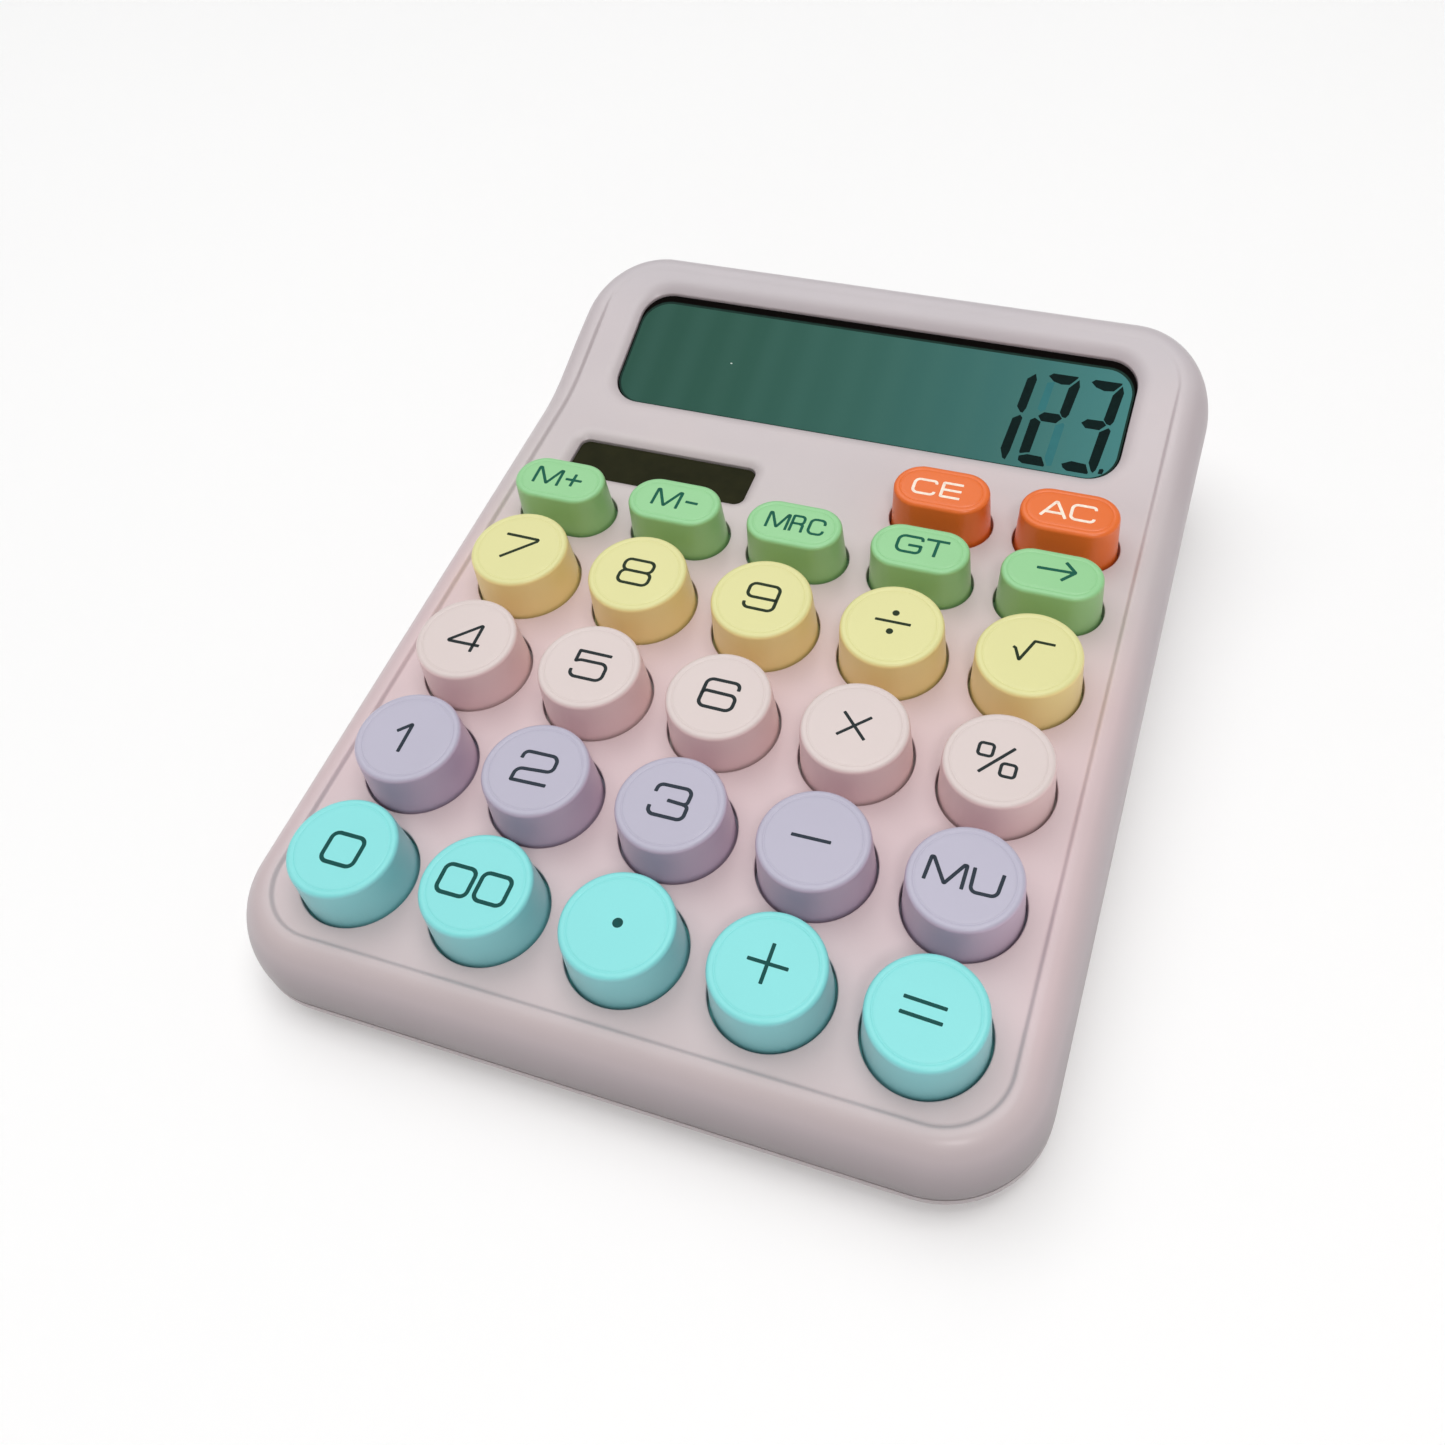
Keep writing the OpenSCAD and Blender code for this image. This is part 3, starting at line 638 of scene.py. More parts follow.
# ------------------------------------------------------------------ keys
def key_cap(name, cx, cy, a, b, hue):
    s = Shell()
    h = a - b
    n = 48 if h < 1e-9 else 32
    grow = KEY_B - KEY_R

    def ring(r, z):
        if h < 1e-9:
            p = round_loop(cx, cy, r, r, 0, n)
        else:
            p = round_loop(cx, cy, r + h, r, 0, n, straight=4)
        return s.loop(np.c_[p, np.full(len(p), z)])

    count = len(round_loop(0, 0, a, b, 0, n, straight=4 if h > 1e-9 else 1))

    def stem(r, z):
        t = np.array([math.atan2(y, x) for x, y in (round_loop(0, 0, b + h, b, 0, n, straight=4) if h > 1e-9 else round_loop(0, 0, b, b, 0, n))])
        return s.loop(np.c_[cx + r * np.cos(t), cy + r * np.sin(t), np.full(count, z)])

    H = KEY_H
    R = b  # half depth of the top
    base = R + grow
    out = []
    # skirt underside and flange, up the side, round the edge and in to the middle
    fl = 0.85 if h < 1e-9 else 0.60
    inner = 0.90 if h < 1e-9 else 0.85
    out += [stem(0.9, -5.6), stem(1.35, -5.6), stem(1.55, -5.4), stem(1.55, H - 1.9), stem(1.75, H - 1.65), stem(1.95, H - 1.6)]
    out += [ring(R - 1.6, H - 1.6), ring(R - 1.2, H - 1.75), ring(R - 1.13, H - 2.1), ring(base - inner, -1.5)]
    out += [ring(base - inner, -3.5), ring(base - inner + 0.1, -3.6), ring(base + fl - 0.12, -3.6), ring(base + fl, -3.48), ring(base + fl, -2.62), ring(base + fl - 0.12, -2.5)]
    out += [ring(base + 0.1, -2.5), ring(base, -2.4), ring(base, -0.3)]
    side = lambda z: R + grow * (1 - z / (H - 0.55))
    for z in (0.0, 0.9, 2.2, 3.6, 5.0, H - 0.95, H - 0.72):
        out.append(ring(base if z == 0 else side(z), z))
    # rounded edge, radius about 0.5
    er = 0.62
    lean = math.atan(grow / (H - 0.55))
    for k in range(8):
        t = lean + (math.pi / 2 - lean) * k / 7
        # t is the angle of the outward normal above the horizontal
        out.append(ring(R - er + er * math.cos(t), H - er + er * math.sin(t)))
    # flat land, a shallow ring line, then the flat middle
    g = R - 1.02 if h < 1e-9 else R - 1.00
    out += [ring(R - er - 0.10, H), ring(g + 0.22, H), ring(g + 0.15, H - 0.012), ring(g + 0.07, H - 0.055), ring(g, H - 0.07), ring(g - 0.07, H - 0.055), ring(g - 0.15, H - 0.012), ring(g - 0.22, H), ring(g - 0.6, H)]
    s.chain(out)
    s.cap(out[-1])
    s.cap(out[0], flip=True)
    o = s.make(name + "_cap", PAINT[hue][0])
    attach(o, name)
    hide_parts(name)
    return o


for n, k in KEYS.items():
    key_cap(n, *k)


# ------------------------------------------------------------------ printed legends
def rounded(pts, closed=False, seg=7):
    """A centre line through (x, y[, r]) points, with its corners rounded to r."""
    P = [(p[0], p[1], p[2] if len(p) > 2 else 0.0) for p in pts]
    n, out = len(P), []
    for i, (x, y, r) in enumerate(P):
        if (not closed and i in (0, n - 1)) or r <= 0:
            out.append((x, y))
            continue
        p = np.array((x, y))
        v1 = np.array(P[i - 1][:2]) - p
        v2 = np.array(P[(i + 1) % n][:2]) - p
        l1, l2 = np.linalg.norm(v1), np.linalg.norm(v2)
        v1, v2 = v1 / l1, v2 / l2
        ang = math.acos(max(-1, min(1, float(v1 @ v2))))
        f1 = 0.96 if (not closed and i - 1 == 0) else 0.49
        f2 = 0.96 if (not closed and i + 1 == n - 1) else 0.49
        t = min(r / math.tan(ang / 2), f1 * l1, f2 * l2)
        r = t * math.tan(ang / 2)
        mid = (v1 + v2) / np.linalg.norm(v1 + v2)
        c = p + mid * r / math.sin(ang / 2)
        s0, s1 = p + v1 * t - c, p + v2 * t - c
        a0, a1 = math.atan2(s0[1], s0[0]), math.atan2(s1[1], s1[0])
        d = (a1 - a0 + math.pi) % (2 * math.pi) - math.pi
        for k in range(seg + 1):
            a = a0 + d * k / seg
            out.append((c[0] + r * math.cos(a), c[1] + r * math.sin(a)))
    return np.array(out)


def stroke(s, pts, w, z0, z1, closed=False, frame=lambda p: p):
    """A closed ribbon of width w along a centre line."""
    p = rounded(pts, closed)
    scale = np.ones(len(p))
    if not closed:
        d0 = (p[1] - p[0]) / np.linalg.norm(p[1] - p[0])
        d1 = (p[-1] - p[-2]) / np.linalg.norm(p[-1] - p[-2])
        c0 = min(0.16 * w, 0.45 * np.linalg.norm(p[1] - p[0]))
        c1 = min(0.16 * w, 0.45 * np.linalg.norm(p[-1] - p[-2]))
        p = np.concatenate([[p[0]], [p[0] + d0 * c0], p[1:-1], [p[-1] - d1 * c1], [p[-1]]])
        scale = np.ones(len(p))
        scale[0] = scale[-1] = 0.68
    n = len(p)
    left, right = [], []
    for i in range(n):
        a = p[i] - p[i - 1] if (closed or i > 0) else p[1] - p[0]
        b = p[(i + 1) % n] - p[i] if (closed or i < n - 1) else p[-1] - p[-2]
        a, b = a / np.linalg.norm(a), b / np.linalg.norm(b)
        na, nb = np.array((-a[1], a[0])), np.array((-b[1], b[0]))
        m = na + nb
        m /= np.linalg.norm(m)
        k = min(1.0 / max(0.35, float(m @ na)), 2.2)
        left.append(p[i] + m * k * w / 2 * scale[i])
        right.append(p[i] - m * k * w / 2 * scale[i])
    L1 = s.loop([frame((q[0], q[1], z1)) for q in left])
    R1 = s.loop([frame((q[0], q[1], z1)) for q in right])
    L0 = s.loop([frame((q[0], q[1], z0)) for q in left])
    R0 = s.loop([frame((q[0], q[1], z0)) for q in right])
    s.bridge(R1, L1, closed)
    s.bridge(L0, R0, closed)
    s.bridge(L1, L0, closed)
    s.bridge(R0, R1, closed)
    if not closed:
        s.f.append((L1[0], R1[0], R0[0], L0[0]))
        s.f.append((R1[-1], L1[-1], L0[-1], R0[-1]))


def blob(s, poly, z0, z1, frame=lambda p: p):
    """A thin closed solid over a polygon given anticlockwise."""
    poly = np.asarray(poly, float)
    if 0.5 * np.sum(poly[:, 0] * np.roll(poly[:, 1], -1) - np.roll(poly[:, 0], -1) * poly[:, 1]) < 0:
        poly = poly[::-1]
    t = s.loop([frame((q[0], q[1], z1)) for q in poly])
    b = s.loop([frame((q[0], q[1], z0)) for q in poly])
    s.cap(t)
    s.cap(b, flip=True)
    s.bridge(b, t)


def dot(cx, cy, r, n=28):
    return [(cx + r * math.cos(2 * math.pi * k / n), cy + r * math.sin(2 * math.pi * k / n)) for k in range(n)]


def box4(x0, x1, y0, y1, r):
    return [(x0, y0, r), (x1, y0, r), (x1, y1, r), (x0, y1, r)]


# each legend: strokes (points, closed) and dots, in mm about the key's centre
LEGENDS = {
    "key_0": ([(box4(-1.92, 2.72, -2.42, 1.80, 0.95), True)], [], 0.55),
    "key_00": ([(box4(-4.60, -0.44, -2.12, 1.80, 0.9), True), (box4(0.52, 4.46, -2.0, 1.92, 0.9), True)], [], 0.53),
    "key_dot": ([], [(0.08, 0.16, 0.66)], 0.5),
    "key_plus": ([([(-2.58, 0.37), (2.56, 0.24)], False), ([(-0.04, 2.96), (-0.04, -2.34)], False)], [], 0.46),
    "key_equals": ([([(-3.0, 1.05), (2.18, 0.78)], False), ([(-3.02, -0.84), (2.10, -1.10)], False)], [], 0.46),
    "key_1": ([([(-1.75, 0.42), (-0.12, 2.0, 0.1), (-0.04, -2.6)], False)], [], 0.50),
    "key_2": ([([(-2.42, 1.08), (-2.35, 2.30, 0.75), (2.42, 2.40, 0.95), (2.48, 0.0, 0.85), (-2.40, -0.45, 0.95), (-2.44, -2.30, 0.06), (2.50, -2.12)], False)], [], 0.50),
    "key_3": ([([(-2.44, 1.10), (-2.36, 2.36, 0.75), (2.22, 2.50, 0.9), (2.16, 0.14, 0.55), (-0.52, 0.26)], False), ([(1.55, 0.16), (2.36, 0.06, 0.55), (2.36, -2.10, 0.85), (-2.40, -2.16, 0.85), (-2.46, -0.92)], False)], [], 0.50),
    "key_minus": ([([(-2.88, -0.05), (2.26, 0.05)], False)], [], 0.46),
    "key_mu": ([([(-4.74, -1.55), (-4.52, 1.72, 0.12), (-4.22, 1.72, 0.12), (-2.25, -1.48, 0.1), (-0.42, 1.55, 0.12), (-0.10, 1.55, 0.1), (-0.10, -1.72)], False), ([(0.84, 1.62), (0.92, -1.68, 0.75), (4.14, -1.60, 0.85), (4.40, 1.55)], False)], [], 0.46),
    "key_4": ([([(1.70, -2.30), (1.62, 2.36, 0.12), (1.40, 2.36, 0.12), (-2.22, -1.00, 0.25), (-2.02, -1.12, 0.1), (2.60, -1.0)], False)], [], 0.48),
    "key_5": ([([(2.66, 2.12), (-2.10, 2.12, 0.06), (-2.08, 0.30, 0.06), (-1.40, 0.60, 0.6), (2.58, 0.66, 0.95), (2.64, -2.24, 0.95), (-2.06, -2.28, 0.9), (-2.14, -1.08)], False)], [], 0.48),
    "key_6": ([([(2.46, 1.18), (2.40, 2.36, 0.8), (-2.22, 2.34, 0.95), (-2.24, -2.24, 0.95), (2.52, -2.26, 0.95), (2.52, 0.26, 0.85), (-2.30, 0.34, 0.7), (-2.24, -0.35)], False)], [], 0.50),
    "key_times": ([([(-1.96, 1.88), (1.80, -1.86)], False), ([(1.80, 1.86), (-1.96, -1.88)], False)], [], 0.42),
    "key_percent": ([(box4(-2.86, -0.98, 0.04, 1.92, 0.45), True), (box4(0.50, 2.40, -2.42, -0.52, 0.45), True), ([(1.66, 2.04), (-2.14, -2.56)], False)], [], 0.42),
    "key_7": ([([(-2.95, 2.14), (2.26, 2.10, 0.16), (2.18, 1.72, 0.2), (-2.10, -2.36)], False)], [], 0.48),
    "key_8": ([(box4(-2.36, 2.10, 0.06, 2.18, 0.85), True), (box4(-2.38, 2.26, -2.28, 0.06, 0.9), True)], [], 0.48),
    "key_9": ([([(2.22, 0.10), (2.05, -0.10, 0.3), (-2.16, -0.12, 0.85), (-2.20, 2.40, 0.95), (2.26, 2.36, 0.9), (2.30, -2.14, 0.9), (-2.02, -2.12, 0.8), (-2.14, -1.10)], False)], [], 0.48),
    "key_divide": ([([(-2.54, 0.48), (2.54, 0.52)], False)], [(0.0, 2.12, 0.50), (0.0, -1.20, 0.50)], 0.44),
    "key_root": ([([(-2.34, 0.62), (-1.98, 0.42, 0.1), (-1.14, -1.46, 0.06), (0.28, 2.14, 0.08), (3.04, 2.12)], False)], [], 0.42),
    "key_mem_plus": ([([(-3.92, -1.55), (-3.98, 1.72, 0.1), (-3.70, 1.72, 0.1), (-1.76, -1.36, 0.1), (-0.30, 1.66, 0.1), (0.0, 1.66, 0.1), (0.04, -1.55)], False), ([(0.94, 0.20), (3.64, 0.22)], False), ([(2.26, 1.50), (2.22, -1.14)], False)], [], 0.46),
    "key_mem_minus": ([([(-3.18, -1.42), (-3.12, 1.78, 0.1), (-2.84, 1.78, 0.1), (-1.28, -1.34, 0.1), (0.48, 1.72, 0.1), (0.78, 1.70, 0.1), (0.74, -1.55)], False), ([(1.76, 0.20), (3.76, 0.14)], False)], [], 0.46),
    "key_mem_recall": ([([(-4.0, -1.58), (-3.98, 1.42, 0.1), (-3.72, 1.42, 0.1), (-2.40, -1.34, 0.1), (-1.22, 1.42, 0.1), (-0.98, 1.42, 0.1), (-0.98, -1.60)], False), ([(-0.34, -1.56), (-0.34, 1.56, 0.12), (1.38, 1.58, 0.55), (1.38, 0.10, 0.5), (-0.34, 0.08)], False), ([(0.80, 0.10), (1.36, -0.10, 0.2), (1.40, -1.52)], False), ([(4.52, 0.62), (4.50, 1.52, 0.65), (2.38, 1.52, 0.75), (2.36, -1.34, 0.75), (4.54, -1.30, 0.65), (4.56, -0.50)], False)], [], 0.42),
    "key_total": ([([(0.10, 1.10), (0.02, 1.76, 0.4), (-3.36, 1.78, 0.95), (-3.38, -1.26, 0.95), (0.10, -1.24, 0.8), (0.10, 0.12, 0.06), (-1.78, 0.10)], False), ([(0.60, 1.80), (3.98, 1.80)], False), ([(2.34, 1.70), (2.26, -1.34)], False)], [], 0.46),
    "key_arrow": ([([(-2.32, 0.52), (3.0, 0.66)], False), ([(1.46, 2.34), (3.08, 0.72, 0.15), (1.34, -1.12)], False)], [], 0.48),
    "key_ce": ([([(-0.92, 0.52), (-0.94, 1.10, 0.45), (-4.14, 1.10, 0.8), (-4.14, -1.72, 0.8), (-0.92, -1.70, 0.6), (-0.90, -1.05)], False), ([(3.04, 1.18), (0.16, 1.18, 0.12), (0.16, -1.62, 0.12), (3.04, -1.62)], False), ([(0.2, -0.20), (3.02, -0.20)], False)], [], 0.44),
    "key_ac": ([([(-4.04, -1.74), (-2.26, 1.30, 0.12), (-2.02, 1.30, 0.12), (-0.42, -1.74)], False), ([(-3.40, -0.86), (-0.96, -0.86)], False), ([(3.56, 0.84), (3.54, 1.42, 0.45), (0.22, 1.42, 0.8), (0.22, -1.50, 0.8), (3.58, -1.52, 0.6), (3.58, -0.86)], False)], [], 0.44),
}

for name, (strokes, dots, w) in LEGENDS.items():
    cx, cy, a, b, hue = KEYS[name]
    s = Shell()
    fr = lambda p, cx=cx, cy=cy: (p[0] + cx, p[1] + cy, p[2])
    for k, (pts, closed) in enumerate(strokes):
        stroke(s, pts, w * 1.03, KEY_H - 0.01, KEY_H + 0.018 + 0.003 * k, closed, fr)
    for dx, dy, r in dots:
        blob(s, dot(dx, dy, r), KEY_H - 0.01, KEY_H + 0.018, fr)
    o = s.make(name + "_legend", PAINT[hue][1], smooth=False)
    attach(o, name)

# ------------------------------------------------------------------ display
LCD_TOP = -2.8
DIGIT = 7.05
SEG = {  # the 3's place, D mm; each unlit or lit bar of a digit
    "a": [(35.2, 19.65), (35.75, 20.2), (40.0, 20.25), (40.0, 19.95), (38.95, 18.55), (37.5, 18.35), (36.1, 18.8)],
    "b": [(38.95, 17.8), (40.15, 19.75), (40.6, 18.5), (40.12, 13.0), (39.7, 12.25), (39.05, 12.4), (38.5, 13.1)],
    "g": [(35.2, 11.95), (36.0, 12.78), (38.5, 12.85), (39.1, 12.15), (38.2, 11.1), (36.0, 11.1)],
    "c": [(38.3, 10.75), (39.55, 11.75), (40.0, 11.3), (39.4, 5.0), (39.2, 3.9), (38.85, 3.35), (38.5, 3.6), (37.85, 5.0)],
    "d": [(33.8, 4.05), (35.2, 4.8), (37.5, 4.65), (38.15, 3.25), (38.05, 2.95), (34.8, 2.95), (34.1, 3.4)],
    "f": [(35.4, 18.9), (34.75, 19.3), (34.6, 13.1), (35.2, 12.5), (35.75, 13.2), (36.1, 18.0)],
    "e": [(34.25, 11.0), (34.85, 11.5), (35.75, 10.9), (35.35, 5.1), (34.8, 4.9), (34.0, 4.65), (33.9, 5.0)],
}
DIGITS = {
    0: {"segs": "abgcd"},
    -1: {
        "a": [(28.3, 19.6), (28.95, 20.2), (33.0, 20.22), (32.95, 19.9), (31.9, 18.5), (30.6, 18.35), (29.3, 18.7)],
        "b": [(31.9, 17.9), (33.25, 19.7), (33.6, 18.4), (33.0, 13.0), (32.6, 12.3), (32.0, 12.4), (31.5, 13.2)],
        "g": [(28.3, 11.95), (29.1, 12.78), (31.5, 12.82), (32.1, 12.1), (31.3, 11.08), (28.95, 11.08)],
        "e": [(27.25, 11.0), (27.9, 11.5), (28.95, 10.9), (28.5, 5.1), (27.9, 4.95), (27.0, 4.65), (26.85, 5.0)],
        "d": [(26.95, 4.2), (28.2, 4.72), (30.5, 4.65), (31.25, 3.25), (31.15, 2.95), (27.8, 2.95), (27.0, 3.4)],
    },
    -2: {
        "b": [(25.05, 18.5), (26.2, 19.65), (26.6, 18.5), (26.12, 13.0), (25.75, 12.05), (25.35, 12.1), (24.6, 13.1)],
        "c": [(24.4, 10.8), (25.5, 11.62), (25.95, 11.1), (25.4, 4.8), (25.0, 3.1), (24.5, 3.35), (23.85, 5.0)],
    },
}


# the window's cover lies just under the lip; the figures are placed on it along the lines of sight they were taken from
LENS = -1.25
EYE = (51.35, -121.977, 155.84)
ey, ez = (EYE[1] - Y_OFF) * CS + (EYE[2] - DECK_H) * SN - BEND_Y, -(EYE[1] - Y_OFF) * SN + (EYE[2] - DECK_H) * CS
EYE_D = (EYE[0], ey * math.cos(TILT) + ez * math.sin(TILT), -ey * math.sin(TILT) + ez * math.cos(TILT))


def panel(p):
    k = (EYE_D[2] - LENS) / (EYE_D[2] - LCD_TOP)
    return tuple(from_d(np.array((EYE_D[0] + (p[0] - EYE_D[0]) * k, EYE_D[1] + (p[1] - EYE_D[1]) * k, LENS + p[2] - LCD_TOP))))


m = Mat("display_segment", 0.55, 0.06)
n = m.noise(900.0, 3.0, 0.6)
m.color(m.ramp(n, [(0.25, lin((2, 22, 21))), (0.75, lin((4, 30, 28)))]))
M_seg = m.m
m = Mat("display_unlit", 0.55, 0.06)
n = m.noise(500.0, 3.0, 0.6)
m.color(m.ramp(n, [(0.25, lin((50, 112, 116))), (0.75, lin((54, 118, 120)))]))
M_ghost = m.m

s = Shell()
for k, sh in DIGITS.items():
    if "segs" in sh:
        for q in sh["segs"]:
            blob(s, SEG[q], LCD_TOP - 0.01, LCD_TOP + 0.012, panel)
    else:
        for q in sh.values():
            blob(s, q, LCD_TOP - 0.01, LCD_TOP + 0.012, panel)
blob(s, [(39.62, 3.35), (40.3, 3.35), (40.42, 4.1), (40.2, 4.35), (39.72, 4.2)], LCD_TOP - 0.01, LCD_TOP + 0.012, panel)
digits = s.make("display_digits", M_seg, smooth=False)
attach(digits, "case")

s = Shell()
blob(s, [(28.35, 18.3), (29.5, 18.6), (29.2, 13.3), (28.55, 12.75), (27.9, 13.2)], LCD_TOP - 0.01, LCD_TOP + 0.007, panel)
blob(s, [(31.35, 10.7), (32.45, 11.4), (32.75, 11.0), (32.35, 3.4), (31.6, 3.2), (31.0, 4.6)], LCD_TOP - 0.01, LCD_TOP + 0.007, panel)
ghost = s.make("display_unlit_bars", M_ghost, smooth=False)
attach(ghost, "case")

# specks of dust on the display and the solar cell
M_dust = soft("dust", lin((205, 222, 214)), 0.8, 900.0, 0.1, 0.2)
s = Shell()
blob(s, [(-24.45 + 0.16 * math.cos(2.1 * k) * (1 + 0.3 * (k % 2)), 12.5 + 0.13 * math.sin(2.1 * k)) for k in (0, 0.5, 1, 1.5, 2, 2.5)], LCD_TOP + 0.002, LCD_TOP + 0.016, panel)
dust = s.make("display_dust", M_dust, smooth=False)
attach(dust, "case")

# ------------------------------------------------------------------ materials of the CAD nodes


def put(node, material):
    me = NODES[node].data
    me.materials.clear()
    me.materials.append(material)


# display glass: dark green at the left, teal at the right, with faint upright bars
m = Mat("display_glass", 0.55, 0.06)
sep = m.node("ShaderNodeSeparateXYZ")
m.link(m.tc.outputs["Object"], sep.inputs["Vector"])
t = m.value(sep.outputs["X"], -0.0426, 0.0426)
base = m.ramp(t, [(0.0, lin((46, 84, 72))), (0.22, lin((48, 88, 76))), (0.5, lin((55, 99, 90))), (0.78, lin((61, 111, 107))), (1.0, lin((71, 130, 129)))])
wave = m.node("ShaderNodeTexWave", wave_type="BANDS", bands_direction="X", wave_profile="SIN")
wave.inputs["Scale"].default_value = 45.0
wave.inputs["Distortion"].default_value = 1.2
wave.inputs["Detail"].default_value = 2.0
wave.inputs["Detail Scale"].default_value = 1.5
m.link(m.coords((1, 0.06, 0.06)), wave.inputs["Vector"])
slow = m.noise(60.0, 2.0, 0.5, m.coords((1, 0.15, 0.15)))
both = m.node("ShaderNodeMath", operation="MULTIPLY")
m.link(wave.outputs["Fac"], both.inputs[0])
m.link(slow, both.inputs[1])
base = m.mix(m.value(both.outputs[0], 0.1, 0.6, 0.0, 0.10), base, lin((80, 122, 112)))
m.color(base)
m.bump(m.noise(3500.0, 2.0, 0.6), 0.06, 0.00003)
M_glass = m.m
# black for the cover's border and for the painted shadow of the lip at its far edge
M_border_and_lip_shadow = soft("display_border_painted_shadow", [0.0030, 0.0022, 0.0018, 1], 0.7, 900.0, 0.1, 0.02)
s = Shell()
KZ = LENS / math.cos(TILT)


def lens_loop(q, dz, left=0.0, right=0.0, near=0.0, far=0.0):
    p = rect_loop(WIN[0] + left, WIN[1] - right, WIN[2] + near, WIN[3] - far, 5.0, q)
    return s.loop(np.c_[p, (p[:, 1] - BEND_Y) * math.tan(TILT) + dz])


def d_box(x0, x1, s0, s1, z0, z1):
    v = s.loop([tuple(from_d(np.array(q))) for q in ((x0, s0, z0), (x1, s0, z0), (x1, s1, z0), (x0, s1, z0), (x0, s0, z1), (x1, s0, z1), (x1, s1, z1), (x0, s1, z1))])
    for f in ((3, 2, 1, 0), (4, 5, 6, 7), (0, 1, 5, 4), (1, 2, 6, 5), (2, 3, 7, 6), (3, 0, 4, 7)):
        s.f.append(tuple(v[i] for i in f))


# the cover's black border widens to about 1.1 mm at the far edge as a painted shadow of the lip; the thin dark green
# ring inside it is painted shade along the window's edges
rings = [lens_loop(-0.08, -3.1), lens_loop(-0.08, KZ - 0.10), lens_loop(-0.11, KZ - 0.03), lens_loop(-0.18, KZ)]
rings.append(lens_loop(-0.22, KZ, 0.06, 0.04, 0.0, 1.10))
s.chain(rings)
s.cap(rings[0], flip=True)
black = len(s.f)
rings += [lens_loop(-0.34, KZ, 0.10, 0.08, 0.0, 1.20), lens_loop(-0.50, KZ, 0.12, 0.10, 0.0, 1.24)]
s.chain(rings[-3:])
dim = len(s.f)
s.cap(rings[-1])
d_box(-45.8, 45.8, -1.1, 24.9, -3.9, -2.8)
d_box(-45.8, 45.8, 1.4, 24.9, -4.95, -3.9)
lens = s.make("display_window", M_border_and_lip_shadow, smooth=False)
lens.data.materials.append(M_glass)
lens.data.materials.append(soft("display_edge_painted_shade", lin((26, 52, 45)), 0.55, 900.0, 0.1, 0.06))
for q in lens.data.polygons[black:]:
    q.material_index = 1 if q.index >= dim else 2
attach(lens, "case")
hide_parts("lcd_panel")

# foam ring under the rim of the window
s = Shell()
ring4 = []
for box, q, z in (((-45.6, 45.6, -1.0, 24.8, 3.0), 0.0, -2.75), ((-45.6, 45.6, -1.0, 24.8, 3.0), 0.0, -2.25), ((-42.6, 42.6, 1.14, 23.56, 5.0), 0.35, -2.25), ((-42.6, 42.6, 1.14, 23.56, 5.0), 0.35, -2.75)):
    p = rect_loop(*box, q)
    ring4.append(s.loop(from_d(np.c_[p, np.full(len(p), z)])))
s.chain(ring4, close=True)
foam = s.make("window_foam", soft("gasket_foam", [0.012, 0.011, 0.010, 1], 0.75, 1600.0, 0.3, 0.2), smooth=False)
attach(foam, "case")
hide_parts("lcd_gasket")

m = Mat("solar_film", 0.50, 0.06)
n = m.noise(260.0, 3.0, 0.6)
base = m.ramp(n, [(0.3, lin((31, 32, 14))), (0.7, lin((39, 39, 19)))])
vo = m.node("ShaderNodeTexVoronoi", feature="F1")
vo.inputs["Scale"].default_value = 130.0
m.link(m.coords(offset=(0.013, 0.002, 0.0)), vo.inputs["Vector"])
gate = m.node("ShaderNodeTexWhiteNoise", noise_dimensions="3D")
m.link(vo.outputs["Position"], gate.inputs["Vector"])
mul = m.node("ShaderNodeMath", operation="MULTIPLY")
m.link(m.value(gate.outputs["Value"], 0.93, 0.94), mul.inputs[0])
m.link(m.value(vo.outputs["Distance"], 0.012, 0.022, 0.6, 0.0), mul.inputs[1])
base = m.mix(mul.outputs[0], base, lin((190, 190, 180)))
m.color(base)
m.bump(m.noise(2500.0, 2.0, 0.6), 0.04, 0.00003)
put("solar_cell", m.m)

put("bottom_case", M_under)
put("battery_door", M_under)
put("rubber_feet", soft("foot_rubber_look", [0.045, 0.043, 0.042, 1], 0.72, 1200.0, 0.3))

m = Mat("cell_wrap", 0.28, 0.5, 0.0, 0.3, 0.08)
sep = m.node("ShaderNodeSeparateXYZ")
m.link(m.tc.outputs["Object"], sep.inputs["Vector"])
t = m.value(sep.outputs["X"], -0.0225, 0.0225)
base = m.ramp(t, [(0.0, [0.45, 0.45, 0.45, 1]), (0.03, [0.03, 0.09, 0.06, 1]), (0.62, [0.03, 0.09, 0.06, 1]), (0.64, [0.55, 0.36, 0.16, 1])], "CONSTANT")
m.color(base)
n = m.noise(700.0, 2.0, 0.5)
m.roughness(m.value(n, 0.3, 0.7, 0.24, 0.34))
m.bump(n, 0.05, 0.00003)
put("battery_cell", m.m)

steel = metal("spring_steel", [0.66, 0.66, 0.67, 1], 0.28, (1, 6, 1))
put("battery_plate", steel)
put("battery_spring", steel)
screw = metal("zinc_steel", [0.60, 0.60, 0.62, 1], 0.34)
for n in ("board_screws", "case_screws", "lcd_screws"):
    put(n, screw)
put("lcd_holder", moulded("white_moulding", [0.72, 0.72, 0.70, 1], rough=0.45, seed=3.0))
m = Mat("ribbon_film_look", 0.3, 0.5)
wv = m.node("ShaderNodeTexWave", wave_type="BANDS", bands_direction="X", wave_profile="SIN")
wv.inputs["Scale"].default_value = 260.0
m.link(m.tc.outputs["Object"], wv.inputs["Vector"])
m.color(m.ramp(wv.outputs["Fac"], [(0.35, [0.42, 0.20, 0.035, 1]), (0.5, [0.10, 0.06, 0.03, 1])]))
put("lcd_ribbon", m.m)
